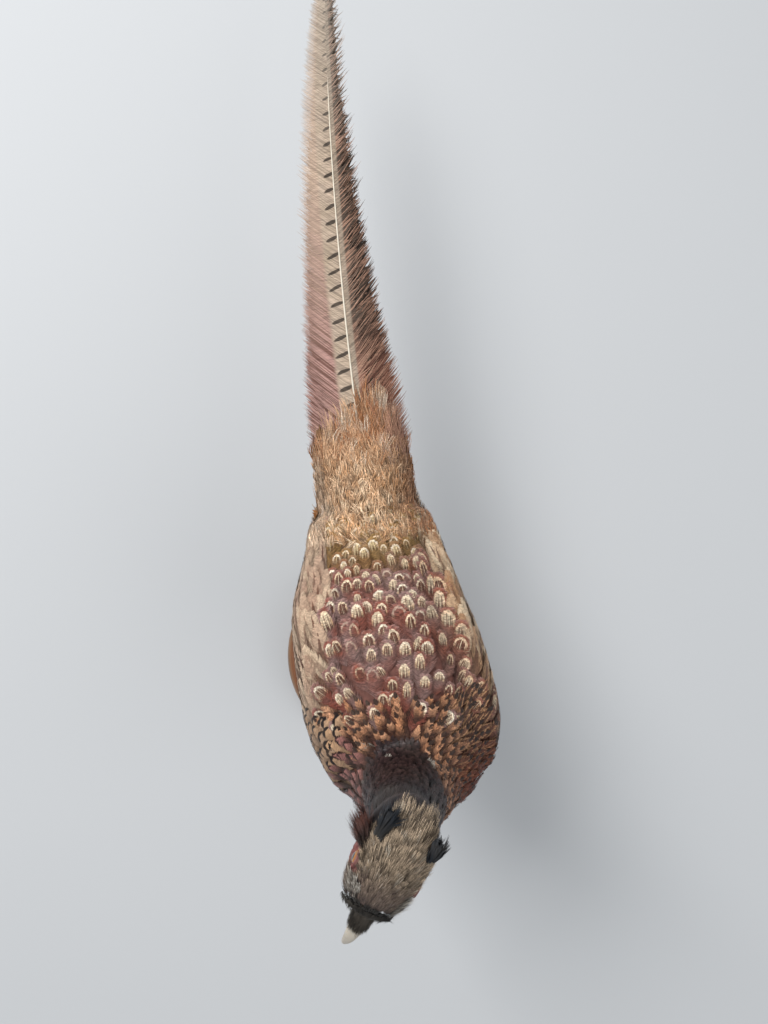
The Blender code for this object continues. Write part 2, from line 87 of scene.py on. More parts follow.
FLESH = ("trunk", "neck_lower", "neck_upper", "head", "tail_coverts_upper", "tail_coverts_under")
THIGHS = ("thigh_left", "thigh_right")
WINGS = tuple(f"wing_{part}_{word}" for part in ("coverts", "flight_feathers") for word in ("left", "right"))
SIDES = ((1, "left"), (-1, "right"))
HEAD_DROOP = math.radians(4)


# ---------------------------------------------------------------- vectors and courses


def unit(vectors):
    """Vectors of length one, along the last axis."""
    vectors = np.asarray(vectors, float)
    return vectors / np.maximum(np.linalg.norm(vectors, axis=-1, keepdims=True), 1e-12)


def smooth_step(values, low, high):
    share = np.clip((np.asarray(values, float) - low) / (high - low), 0, 1)
    return share * share * (3 - 2 * share)


def middle_of(node):
    low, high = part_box(node)
    return np.array((low + high) / 2)


EYE_MIDDLE = (middle_of("eye_left") + middle_of("eye_right")) / 2
HEAD_LEFT = unit(middle_of("eye_left") - middle_of("eye_right"))
HEAD_AHEAD = unit(np.cross(HEAD_LEFT, (0, 0, 1)) - (0, 0, math.tan(HEAD_DROOP)))
HEAD_UP = np.cross(HEAD_AHEAD, HEAD_LEFT)
EYES_AHEAD = float(EYE_MIDDLE @ HEAD_AHEAD)


def head_place(along, side, rise):
    """A point of the head, in metres ahead of, beside and above the middle between the eyes."""
    return EYE_MIDDLE + HEAD_AHEAD * along + HEAD_LEFT * side + HEAD_UP * rise


# The bird's middle line, from the bill's root over the nape, down the neck and back to the tail's tip.
HEAD_LINE = [head_place(along * CM, 0, rise * CM) for along, rise in ((2.0, 0), (0, 0), (-2.2, -0.4))]
BODY_LINE = (
    (-1.2, -2.7, 33.8),
    (-0.6, -3.2, 30.5),
    (-0.2, -3.6, 26.5),
    (0.1, -3.2, 23.2),
    (0.2, 0.6, 20.6),
    (-0.1, 7.0, 19.8),
    (-0.2, 13.5, 19.4),
    (-0.1, 22.0, 18.8),
    (0.3, 32.0, 17.9),
    (1.0, 44.0, 16.2),
    (2.2, 59.0, 12.6),
)
MIDLINE = np.concatenate([HEAD_LINE, np.array(BODY_LINE) * CM])


def tailward(points, reach=2.4 * CM):
    """The way that plumage lies at each point, a blend of the middle line's directions near it."""
    middles = (MIDLINE[1:] + MIDLINE[:-1]) / 2
    ways = unit(np.diff(MIDLINE, axis=0))
    away = np.linalg.norm(points[:, None] - middles[None], axis=2)
    nearest = away.min(1, keepdims=True)
    weights = np.exp(-((away**2 - nearest**2) / (2 * reach * nearest + reach**2)))
    return unit(weights @ ways)


def unwrap(points):
    """Each point's place on an unwrap of the skin: its turn round the middle line, and how far along."""
    starts, ends = MIDLINE[:-1], MIDLINE[1:]
    ways = ends - starts
    shares = ((points[:, None] - starts) * ways).sum(2) / (ways**2).sum(1)
    shares = np.clip(shares, 0, 1)
    feet = starts + shares[:, :, None] * ways
    best = np.linalg.norm(points[:, None] - feet, axis=2).argmin(1)
    rows = np.arange(len(points))
    lengths = np.linalg.norm(ways, axis=1)
    along = (np.cumsum(lengths) - lengths)[best] + shares[rows, best] * lengths[best]
    out = points - feet[rows, best]
    way = unit(ways[best])
    side = unit(np.cross(way, np.where(np.abs(way[:, 2:]) > 0.7, (0, 1, 0), (0, 0, 1))))
    up = np.cross(side, way)
    turn = np.arctan2((out * side).sum(1), (out * up).sum(1))
    return np.stack([turn / math.tau + 0.5, along / lengths.sum()], 1)


# ---------------------------------------------------------------- materials

# The setting that a kind of node is chosen by, so that "Math MULTIPLY" names both.
CHOICES = {
    "Math": "operation",
    "VectorMath": "operation",
    "MapRange": "interpolation_type",
    "Mix": "data_type",
}


def colour(code):
    """A linear colour from an sRGB hex code."""
    channels = [int(code[i : i + 2], 16) / 255 for i in (1, 3, 5)]
    linear = [c / 12.92 if c <= 0.04045 else ((c + 0.055) / 1.055) ** 2.4 for c in channels]
    return (*linear, 1.0)


class Material:
    """A material in the making. Its settings name the shader's own sockets."""

    def __init__(self, name, roughness, **settings):
        self.made = bpy.data.materials.new(name)
        self.made.use_nodes = True
        self.tree = self.made.node_tree
        self.shader = self.tree.nodes["Principled BSDF"]
        for socket, value in dict(settings, Roughness=roughness).items():
            self.shader.inputs[socket.replace("_", " ")].default_value = value

    def add(self, kind, *inputs, out=0, **settings):
        """Adds a node with its settings and its inputs: links, values or hex codes. Gives one output."""
        kind, _, choice = kind.partition(" ")
        made = self.tree.nodes.new("ShaderNode" + kind)
        if choice:
            setattr(made, CHOICES[kind], choice)
        for name, value in settings.items():
            socket = made.inputs.get(name.replace("_", " "))
            if socket:
                socket.default_value = value
            else:
                setattr(made, name, value)
        for socket, value in zip([s for s in made.inputs if s.enabled], inputs):
            if isinstance(value, bpy.types.NodeSocket):
                self.tree.links.new(value, socket)
            else:
                socket.default_value = colour(value) if isinstance(value, str) else value
        return [s for s in made.outputs if s.enabled][out]

    def laid(self, paint, over, value, first, last, most=1.0, smooth=False):
        """One paint with another over it: none where a value is at first, and most of it at last."""
        share = self.add("MapRange SMOOTHSTEP" if smooth else "MapRange", value, first, last, 0.0, most)
        return self.add("Mix RGBA", share, paint, over)

    def done(self, **links):
        """Links what the shader's sockets take, and gives the material."""
        for socket, value in links.items():
            self.tree.links.new(value, self.shader.inputs[socket.replace("_", " ")])
        return self.made


class Plumage(Material):
    """A feather's material, with what it reads: its place across and along, its root, its random draws."""

    def __init__(self, name, roughness, sheen=0.06):
        super().__init__(name, roughness, Sheen_Weight=sheen, Specular_IOR_Level=0.22)
        across, self.along = self.add("SeparateXYZ", self.add("UVMap", uv_map="vane")).node.outputs[:2]
        root = self.add("Attribute", attribute_name="root", out=1)
        self.x, self.y, self.z = self.add("SeparateXYZ", root).node.outputs
        draws = self.add("Attribute", attribute_name="draws", out=1)
        self.draw, self.draw_two, self.draw_three = self.add("SeparateXYZ", draws).node.outputs
        self.barb = self.add("Attribute", attribute_name="barb", out=2)
        self.offset = self.add("Math MULTIPLY", self.add("Math SUBTRACT", across, 0.5), 2.0)
        self.reach = self.add("Math ABSOLUTE", self.offset)

    def finish(self, paint, dust, shade=0.5, contrast=1.0):
        """Ends the material: painted shade towards its root, where the feather before it lies over it,
        streaked barb by barb, a film of dust, fine ribs.
        """
        add = self.add
        # Painted shade: each feather darkens from its middle towards its root, down to the share that shade
        # gives.
        paint = add("VectorMath MULTIPLY", paint, add("MapRange", self.along, 0.5, 0.84, shade, 1.0))
        stretched = add("Math MULTIPLY", self.along, 15.0)
        streak = add("TexNoise", add("CombineXYZ", self.offset, stretched, self.draw), Scale=3.0, Detail=3.0)
        shades = ((streak, 0.3, 0.7, 0.45, 0.4), (self.barb, 0, 1, 0.32, 0.3))
        for value, low, high, darker, lighter in shades:
            light = add("MapRange", value, low, high, 1 - darker * contrast, 1 + lighter * contrast)
            paint = add("VectorMath MULTIPLY", paint, light)
        patchy = add("TexNoise", add("TexCoord", out=3), Scale=45.0)
        paint = self.laid(paint, "#a89c8e", patchy, 0.42, 0.75, 0.45 * dust)
        return self.done(Base_Color=paint, Normal=add("Bump", 0.35, 0.0004, streak))


def mantle_material():
    """Mantle and scapular feathers: mauve-edged vanes with a cream arch round a streaked brown heart."""
    m = Plumage("mantle_feather", 0.72)
    add = m.add
    rear = add("MapRange SMOOTHSTEP", m.y, 7.6 * CM, 10.6 * CM)
    left = add("MapRange SMOOTHSTEP", m.x, 1.6 * CM, 4.0 * CM, 0.0, 0.6)
    # The arch: a band of one width, round at the top, with legs that run straight towards the root.
    spring = add("Math MULTIPLY_ADD", m.draw, 0.05, 0.66)
    high = add("Math MULTIPLY", add("Math SUBTRACT", m.along, spring, use_clamp=True), 5.6)
    wide = add("Math MULTIPLY", m.reach, add("MapRange", m.draw_two, 0, 1, 1.35, 1.95))
    ring = add("VectorMath LENGTH", add("CombineXYZ", high, wide, 0.0))
    wobble = add("TexNoise", add("CombineXYZ", m.offset, m.along, m.draw_two), Scale=9.0)
    ring = add("Math ADD", ring, add("MapRange", wobble, 0.3, 0.7, -0.12, 0.12))
    off = add("Math ABSOLUTE", add("Math SUBTRACT", ring, 0.86))
    band = add("MapRange SMOOTHSTEP", off, 0.23, 0.13)
    inside = add("MapRange SMOOTHSTEP", ring, 0.84, 0.7)
    # Streaks of cream run down inside the arch, more on some feathers than on others.
    narrow = add("Math MULTIPLY", m.offset, 11.0)
    lines = add("TexNoise", add("CombineXYZ", narrow, m.along, m.draw_three), Scale=1.4)
    filled = add("MapRange", m.draw_three, 0.0, 1.0, -0.13, 0.1)
    streaked = add("MapRange", add("Math ADD", lines, filled), 0.5, 0.58, 0.0, 0.95)
    ends = add("MapRange", add("Math ADD", m.along, lines), 1.02, 1.12)
    streaked = add("Math MULTIPLY", streaked, ends)
    # The whole mark fades out above the root, sooner at the front than at the rear.
    shown = add("MapRange", m.draw_three, 0.05, 0.15, 0.3, 1.0)
    foot = add("MapRange", m.draw_two, 0.0, 1.0, 0.54, 0.42)
    foot = add("Math MULTIPLY_ADD", rear, -0.08, foot)
    fade = add("MapRange", m.along, foot, add("Math ADD", foot, 0.09))
    fade = add("Math MULTIPLY", fade, shown)
    band = add("Math MULTIPLY", add("Math MULTIPLY", band, ends), fade)
    inside = add("Math MULTIPLY", inside, fade)
    front_heart = add("Mix RGBA", streaked, "#663f31", "#dcc6a6")
    rear_heart = add("Mix RGBA", streaked, "#76562f", "#e2c898")
    heart = add("Mix RGBA", rear, front_heart, rear_heart)
    cloud = add("TexNoise", add("TexCoord", out=3), Scale=55.0)
    mauve = m.laid("#87493a", "#8d6d66", cloud, 0.4, 0.6)
    mauve = add("Mix RGBA", left, mauve, "#8d5a45")
    ground = add("Mix RGBA", rear, mauve, "#93703f")
    tips = add("Mix RGBA", rear, "#a2837b", "#b8935f")
    ground = m.laid(ground, tips, ring, 1.15, 2.3, 0.6, smooth=True)
    paint = add("Mix RGBA", inside, ground, heart)
    cream = add("Mix RGBA", m.draw_two, "#eddec6", "#d6bc9a")
    legs = add("Math MAXIMUM", add("MapRange", m.along, 0.74, 0.62, 0.0, 0.8), left)
    cream = add("Mix RGBA", legs, cream, "#d0a67c")
    return m.finish(add("Mix RGBA", band, paint, cream), 0.12, 0.68)


def copper_material():
    """Copper feathers round the neck's base: bright in the middle, each with a black wedge at its tip."""
    m = Plumage("copper_feather", 0.6)
    add = m.add
    bright = add("Mix RGBA", m.draw, "#d69f7a", "#b67d58")
    ground = m.laid("#4f3024", bright, m.along, 0.4, 0.75)
    right = add("MapRange SMOOTHSTEP", m.x, -0.8 * CM, -3.5 * CM, 0.0, 0.75)
    low = add("MapRange", m.y, -2.0 * CM, -5.5 * CM)
    ground = add("Mix RGBA", add("Math MULTIPLY", right, low), ground, "#9c706a")
    ground = m.laid(ground, "#7d4c38", m.z, 25.0 * CM, 21.5 * CM, 0.75, smooth=True)
    # On the bird's left the feathers are dark lancets edged with tan.
    left = add("MapRange SMOOTHSTEP", m.x, 1.4 * CM, 3.4 * CM)
    ground = add("Mix RGBA", left, ground, m.laid("#5a3829", "#b98b65", m.reach, 0.4, 0.65))
    shaded = add("Math MULTIPLY", add("MapRange", m.y, -1.5 * CM, -5.0 * CM), left)
    ground = add("Mix RGBA", shaded, ground, "#6e2c0e")
    # The whole of the pointed tip is black, so that it looks like a wedge.
    spot = add("Math MULTIPLY_ADD", m.reach, -0.08, m.along)
    spot = add("MapRange SMOOTHSTEP", spot, 0.7, 0.75, 0.0, 0.95)
    shown = add("MapRange", m.draw_three, 0.12, 0.3, 0.15, 1.0)
    paint = add("Mix RGBA", add("Math MULTIPLY", spot, shown), ground, "#261916")
    return m.finish(paint, 0.12, 0.7, 1.2)


def breast_material():
    """Breast feathers: dark copper, maroon on the bird's right, with a thin dark edge, brown-black below."""
    m = Plumage("breast_feather", 0.62)
    add = m.add
    ground = m.laid("#843a14", "#9c6a62", m.x, 1.5 * CM, -3.5 * CM, smooth=True)
    ground = m.laid("#4c2f22", ground, m.along, 0.35, 0.7)
    rim = add("Math MULTIPLY_ADD", m.reach, 0.22, m.along)
    paint = m.laid(ground, "#241410", rim, 0.9, 0.96, 0.9, smooth=True)
    belly = add("MapRange SMOOTHSTEP", m.z, 16.2 * CM, 14.4 * CM)
    middle = add("MapRange", add("Math ABSOLUTE", m.x), 5.0 * CM, 2.6 * CM)
    return m.finish(add("Mix RGBA", add("Math MULTIPLY", belly, middle), paint, "#33261f"), 0.12)


def flank_material():
    """Flank and thigh feathers: tawny gold with broad black tips, brown towards the legs."""
    m = Plumage("flank_feather", 0.7)
    spot = m.add("Math MULTIPLY_ADD", m.reach, -0.25, m.along)
    gold = m.add("Mix RGBA", m.draw, "#b07c48", "#a06a42")
    paint = m.laid(gold, "#2e2019", spot, 0.74, 0.8, smooth=True)
    return m.finish(m.laid(paint, "#4a372a", m.z, 15.5 * CM, 13.6 * CM, smooth=True), 0.3)


def neck_material():
    """Neck feathers: plum-black gone brown, blue-black at the sides, with flecks of a lost collar."""
    m = Plumage("neck_feather", 0.45, sheen=0.0)
    plum = m.add("Mix RGBA", m.draw, "#1b1315", "#362627")
    plum = m.laid(plum, "#4d3935", m.along, 0.55, 1.0, 0.5)
    paint = m.laid(plum, "#1a1c22", m.z, 31.5 * CM, 34.5 * CM, 0.85, smooth=True)
    low = m.add("Math MULTIPLY", m.draw_two, m.add("MapRange", m.z, 28.6 * CM, 26.6 * CM))
    return m.finish(m.laid(paint, "#8f8680", low, 0.66, 0.78, 0.45), 0.15)


def crown_material():
    """Crown feathers: fine drab hairs with pale tips, a few whitish, and darker tufts at the nape."""
    m = Plumage("crown_feather", 0.78)
    tone = m.laid("#46372b", "#c4ad92", m.along, 0.2, 0.9)
    tone = m.laid(tone, "#54473a", m.draw, 0.5, 0.85, 0.85)
    tone = m.laid(tone, "#d8cdbb", m.draw_two, 0.95, 0.98, 0.6)
    place = m.add("CombineXYZ", m.x, m.y, m.z)
    ahead = m.add("VectorMath DOT_PRODUCT", place, tuple(HEAD_AHEAD))
    tone = m.laid(tone, "#75625a", ahead, EYES_AHEAD + 0.2 * CM, EYES_AHEAD + 1.3 * CM, 0.7)
    nape = m.add("MapRange", ahead, EYES_AHEAD - 2.8 * CM, EYES_AHEAD - 4.0 * CM)
    paint = m.laid(tone, "#2e2627", m.add("Math ADD", nape, m.draw), 0.9, 1.15, 0.9)
    return m.finish(paint, 0.12, 0.6, 1.8)


def plain_plumage(name, dark, light, odd, roughness=0.75):
    """Loose plumage of two tones that run into each other from root to tip, with some odd strands."""
    m = Plumage(name, roughness)
    tone = m.laid(dark, light, m.along, 0.2, 0.9)
    return m.finish(m.laid(tone, odd, m.draw, 0.6, 0.9, 0.85), 0.3)


def rump_material():
    """Rump: loose tawny hair-like feathers, greyer to the bird's right and rusty to its left."""
    m = Plumage("rump_feather", 0.8)
    tawny = m.add("Mix RGBA", m.draw, "#dea675", "#ffe2be")
    tone = m.laid("#9a7450", tawny, m.along, 0.15, 0.95)
    tone = m.laid(tone, "#b26f43", m.x, 1.2 * CM, 3.6 * CM, 0.7, smooth=True)
    tone = m.laid(tone, "#e8cfb4", m.x, -2.4 * CM, -3.9 * CM, 0.65, smooth=True)
    orange = m.laid("#8a623f", "#d3a47c", m.along, 0.15, 0.95)
    tone = m.laid(tone, orange, m.y, 14.6 * CM, 17.4 * CM, 0.8, smooth=True)
    return m.finish(m.laid(tone, "#7d5637", m.draw_two, 0.7, 0.9, 0.7), 0.15, 0.7, 1.75)


def covert_material():
    """Upper tail coverts: silky strands of orange brown, with whitish and rusty ones, mauve on the left."""
    m = Plumage("tail_covert_feather", 0.66)
    tone = m.laid("#94683f", "#ddb28c", m.along, 0.2, 0.9)
    tone = m.laid(tone, "#a5673a", m.draw, 0.55, 0.75, 0.8)
    tone = m.laid(tone, "#e6d4bd", m.draw_two, 0.82, 0.9, 0.75)
    return m.finish(m.laid(tone, "#a87868", m.x, 1.0 * CM, 2.6 * CM, 0.75), 0.15, 0.7, 1.2)


def shoulder_material():
    """Shoulder feathers: small tan scales, each edged with a thin black crescent, mauve down the breast."""
    m = Plumage("shoulder_feather", 0.68)
    add = m.add
    tan = add("Mix RGBA", m.draw, "#cda27c", "#ab8c73")
    tan = m.laid(tan, "#966e6a", m.z, 21.5 * CM, 18.5 * CM, 0.8, smooth=True)
    crescent = add("MapRange SMOOTHSTEP", add("Math MULTIPLY_ADD", m.reach, 0.1, m.along), 0.86, 0.9)
    shown = add("MapRange", m.draw_two, 0.02, 0.12, 0.5, 1.0)
    paint = add("Mix RGBA", add("Math MULTIPLY", crescent, shown), tan, "#241a18")
    return m.finish(paint, 0.2, 0.6, 0.6)


def wing_material(name, ground_code, other_code, mark_code):
    """Wing coverts: a worn pale vane with a darker fork from the shaft on some feathers."""
    m = Plumage(name, 0.74)
    add = m.add
    ground = add("Mix RGBA", m.draw_two, ground_code, other_code)
    wobble = add("TexNoise", add("CombineXYZ", m.offset, m.along, m.draw_three), Scale=5.0)
    fork = add("Math ADD", add("Math MULTIPLY_ADD", m.reach, 0.9, m.along), wobble)
    streak = add("MapRange SMOOTHSTEP", fork, 1.45, 1.25)
    streak = add("Math MULTIPLY", streak, add("MapRange", m.draw, 0.2, 0.5, 0.0, 0.9))
    paint = add("Mix RGBA", streak, ground, mark_code)
    return m.finish(m.laid(paint, "#d8cbbb", m.z, 21.5 * CM, 19.0 * CM, 0.45), 0.2, 0.75, 0.6)


def flight_material():
    """Flight feathers: earth brown vanes with broken buff bars about 5 mm apart, worn pale at the edge."""
    m = Plumage("flight_feather", 0.7, sheen=0.05)
    slant = m.add("Math MULTIPLY_ADD", m.reach, -0.06, m.along)
    wave = m.add("Math SINE", m.add("Math MULTIPLY", slant, 150.0))
    paint = m.laid("#6b5645", "#c0a68a", wave, 0.1, 0.5, smooth=True)
    return m.finish(m.laid(paint, "#c9b398", m.reach, 0.82, 1.0, 0.6), 0.25)


def tail_material(name, vane_code, fringe_code, line_code, dark_side):
    """Long tail feathers: a buff vane crossed by dark bars 12 mm apart, with a loose mauve-brown fringe."""
    m = Plumage(name, 0.7, sheen=0.05)
    add = m.add
    # The vane map runs along the feather in units of one bar to the next.
    place = add("Math MULTIPLY_ADD", m.reach, 0.7, m.along)
    wobble = add("TexNoise", add("CombineXYZ", m.offset, m.along, m.draw), Scale=1.3)
    place = add("Math ADD", place, add("MapRange", wobble, 0.3, 0.7, -0.06, 0.06))
    wave = add("Math SINE", add("Math MULTIPLY", place, math.tau))
    # Each bar is a lens: thickest halfway from the shaft to its outer end, and shorter towards the tip.
    reached = add("MapRange", m.along, 14.0, 30.0, 0.17, 0.1)
    lens = add("Math POWER", add("Math DIVIDE", add("Math ADD", m.offset, reached), reached), 2.0)
    thick = add("Math MULTIPLY_ADD", lens, -0.2, wave)
    tone = add("Mix RGBA", wobble, vane_code, "#a08e77")
    vane = m.laid(tone, "#40362e", thick, 0.68, 0.84, 0.95, smooth=True)
    # Loose ends are strands of two tones, so that the fringe looks like hair and not like cloth.
    hair = add("MapRange", m.barb, 0.55, 0.65, 0.0, 0.9)
    fringe = add("Mix RGBA", hair, fringe_code, line_code)
    fringe = m.laid(fringe, "#b7a08b", m.along, 9.0, 20.0, 0.85)
    frayed = add("MapRange", m.along, 9.0, 24.0, -0.3, -0.45)
    paint = m.laid(vane, fringe, m.offset, frayed, add("Math SUBTRACT", frayed, 0.15), smooth=True)
    shaded = add("MapRange", m.offset, -0.02, 0.02, 1.0, 0.78)
    paint = add("VectorMath MULTIPLY", paint, shaded)
    dark = m.laid("#4a3a30", "#9a6552", m.along, 12.0, 7.0, 0.75, smooth=True)
    strand = add("Mix RGBA", hair, dark, "#9a7460")
    paint = m.laid(paint, strand, m.offset, 0.24, 0.38, dark_side, smooth=True)
    return m.finish(m.laid(paint, "#a2978a", m.along, 21.0, 33.0, 0.6), 0.12, 1.0)


def shaft_material():
    """A feather's shaft: pale dry horn, a little glossy."""
    m = Material("feather_shaft", 0.45)
    grain = m.add("TexNoise", m.add("TexCoord", out=3), Scale=300.0)
    return m.done(Base_Color=m.add("Mix RGBA", grain, "#cdbfa8", "#ece2d0"))


def horn_material():
    """Bill: dry ivory horn, a little translucent, greyer in its growth lines and dark at its root."""
    looks = {"Subsurface_Weight": 0.12, "Subsurface_Scale": 1.0, "Specular_IOR_Level": 0.45}
    m = Material("ivory_bill_horn", 0.42, **looks)
    m.shader.inputs["Subsurface Radius"].default_value = (1.5 * MM, 1.0 * MM, 0.6 * MM)
    place = m.add("TexCoord", out=3)
    cloud = m.add("TexNoise", place, Scale=220.0)
    paint = m.add("Mix RGBA", cloud, "#a0978a", "#c9bfb0")
    ahead = m.add("VectorMath DOT_PRODUCT", place, tuple(HEAD_AHEAD))
    root = EYES_AHEAD + 2.2 * CM
    paint = m.laid(paint, "#3a3029", ahead, root + 0.62 * CM, root + 0.3 * CM, 0.95)
    return m.done(Base_Color=paint, Normal=m.add("Bump", 0.25, 0.0003, cloud))


def wattle_material():
    """Bare face skin: dried dusty red, darker between its papillae."""
    m = Material("red_face_skin", 0.62, Specular_IOR_Level=0.4)
    place = m.add("TexCoord", out=3)
    grain = m.add("TexVoronoi", place, Scale=650.0)
    paint = m.add("Mix RGBA", grain, "#84413f", "#4a2424")
    dust = m.add("MapRange", m.add("TexNoise", place, Scale=160.0), 0.4, 0.75, 0.1, 0.6)
    paint = m.add("Mix RGBA", dust, paint, "#9b7a70")
    return m.done(Base_Color=paint, Normal=m.add("Bump", 0.5, 0.0004, grain))


def eye_material():
    """Glass eye: black pupil, amber iris with fine rays, under a clear gloss."""
    m = Material("amber_eye_glass", 0.12, Coat_Weight=1.0, Coat_Roughness=0.03)
    turn, share = m.add("SeparateXYZ", m.add("UVMap", uv_map="UVMap")).node.outputs[:2]
    turned = m.add("Math MULTIPLY", turn, 60.0)
    rays = m.add("TexNoise", m.add("CombineXYZ", turned, share, 0.0), Scale=2.0)
    iris = m.add("Mix RGBA", rays, "#7a4a1a", "#b87a34")
    pupil = m.add("MapRange SMOOTHSTEP", share, 0.865, 0.88)
    rim = m.add("MapRange SMOOTHSTEP", share, 0.72, 0.69)
    return m.done(Base_Color=m.add("Mix RGBA", m.add("Math MAXIMUM", pupil, rim), iris, "#060505"))


def leg_material():
    """Legs: dried grey-brown horn scutes, darker in the grooves, with near-black claws."""
    m = Material("grey_leg_horn", 0.5)
    place = m.add("TexCoord", out=3)
    groove = m.add("Attribute", attribute_name="groove", out=2)
    claw = m.add("Attribute", attribute_name="claw", out=2)
    horn = m.add("Mix RGBA", m.add("TexNoise", place, Scale=180.0), "#7c7265", "#a3968a")
    horn = m.laid(horn, "#4b4238", groove, 0.0, 1.0, 0.7)
    cells = m.add("TexVoronoi", place, feature="DISTANCE_TO_EDGE", Scale=420.0)
    ribs = m.add("Bump", 0.35, 0.0003, cells)
    return m.done(Base_Color=m.add("Mix RGBA", claw, horn, "#2b2521"), Normal=ribs)


def wood_material():
    """Plinth: turned hardwood under a worn glossy varnish, with a painted highlight on the rim."""
    m = Material("varnished_wood", 0.42, Coat_Weight=0.6, Coat_Roughness=0.18)
    add = m.add
    place = add("TexCoord", out=3)
    # Boards are sawn near the tree's middle, so growth rings are long and about 3 mm apart.
    stretched = add("Mapping", place, Scale=(1.0, 0.07, 1.0))
    warp = add("TexNoise", stretched, Scale=26.0, Detail=3.0)
    bent = add("VectorMath ADD", stretched, add("VectorMath MULTIPLY", warp, (0.016, 0.016, 0.016)))
    rings = add("TexWave", bent, Scale=38.0, Distortion=6.0, Detail_Scale=2.0)
    paint = add("Mix RGBA", rings, "#56301a", "#7c4a26")
    pores = add("TexNoise", add("Mapping", place, Scale=(1.0, 0.04, 1.0)), Scale=900.0)
    paint = add("VectorMath MULTIPLY", paint, add("MapRange", pores, 0.3, 0.7, 0.75, 1.15))
    x, y = add("SeparateXYZ", place).node.outputs[:2]
    away = add("VectorMath LENGTH", add("CombineXYZ", x, y, 0.0))
    # Painted highlight: the rounded rim is paler, broken up by the grain, where the varnish catches the
    # light.
    rim = add("MapRange SMOOTHSTEP", away, 8.0 * CM, 8.45 * CM, 0.0, 0.4)
    rim = add("Math MULTIPLY", rim, add("MapRange", warp, 0.35, 0.65, 0.4, 1.0))
    paint = add("Mix RGBA", rim, paint, "#8f7346")
    worn = add("MapRange", add("TexNoise", place, Scale=60.0), 0.35, 0.7, 0.3, 0.55)
    return m.done(Base_Color=paint, Roughness=worn, Normal=add("Bump", 0.15, 0.0003, pores))


def skin_material():
    """The skin under the plumage: it carries the same zones of colour as the feathers over it."""
    m = Material("feathered_skin", 0.85)
    add = m.add
    place = add("TexCoord", out=3)
    x, y, z = add("SeparateXYZ", place).node.outputs
    paint = m.laid("#6e463c", "#7a5736", y, 7.6 * CM, 10.6 * CM)
    paint = m.laid(paint, "#3a2a22", z, 17.0 * CM, 15.0 * CM)
    pale_side = add("MapRange", x, -3.2 * CM, -3.9 * CM)
    pale_side = add("Math MULTIPLY", pale_side, add("MapRange", z, 17.0 * CM, 18.5 * CM))
    paint = add("Mix RGBA", pale_side, paint, "#8f7560")
    paint = m.laid(paint, "#2a2124", z, 26.2 * CM, 27.6 * CM)
    paint = m.laid(paint, "#4a3f33", z, 35.9 * CM, 36.3 * CM)
    mottle = add("TexNoise", place, Scale=250.0)
    paint = add("VectorMath MULTIPLY", paint, add("MapRange", mottle, 0.3, 0.7, 0.7, 1.2))
    return m.done(Base_Color=paint, Normal=add("Bump", 0.5, 0.0006, mottle))


# ---------------------------------------------------------------- meshes


def select_only(obj):
    for other in bpy.context.view_layer.objects:
        other.select_set(False)
    obj.select_set(True)
    bpy.context.view_layer.objects.active = obj


def apply_all(obj):
    select_only(obj)
    for modifier in list(obj.modifiers):
        bpy.ops.object.modifier_apply(modifier=modifier.name)


def add_modifier(obj, kind, **settings):
    made = obj.modifiers.new(kind.lower(), kind)
    for name, value in settings.items():
        setattr(made, name, value)


def add_mesh_object(name, mesh):
    made = bpy.data.objects.new(name, mesh)
    bpy.context.scene.collection.objects.link(made)
    return made


def numbers_of(items, name, kind=float):
    """What each of a mesh's items says under a name, as rows of three numbers."""
    values = np.empty(len(items) * 3, kind)
    items.foreach_get(name, values)
    return values.reshape(-1, 3)


def set_numbers(mesh, name, kind, values):
    """Gives a mesh's points a new attribute, of one number or three."""
    attribute = mesh.attributes.new(name, kind, "POINT")
    key = "value" if kind == "FLOAT" else "vector"
    attribute.data.foreach_set(key, np.asarray(values, np.float32).ravel())


def joined_copy(name, nodes):
    """One new object from copies of CAD nodes, each with its loose triangles merged."""
    bm = bmesh.new()
    for node in nodes:
        bm.from_mesh(frame["nodes"][node].data)
    bmesh.ops.remove_doubles(bm, verts=bm.verts, dist=0.01 * MM)
    mesh = bpy.data.meshes.new(name)
    bm.to_mesh(mesh)
    bm.free()
    mesh.materials.clear()
    return add_mesh_object(name, mesh)


def remeshed(obj, grain, smoothing):
    """Joins what overlaps or touches into one closed, smooth surface."""
    add_modifier(obj, "REMESH", mode="VOXEL", voxel_size=grain)
    add_modifier(obj, "SMOOTH", factor=0.5, iterations=smoothing)
    apply_all(obj)
    return obj


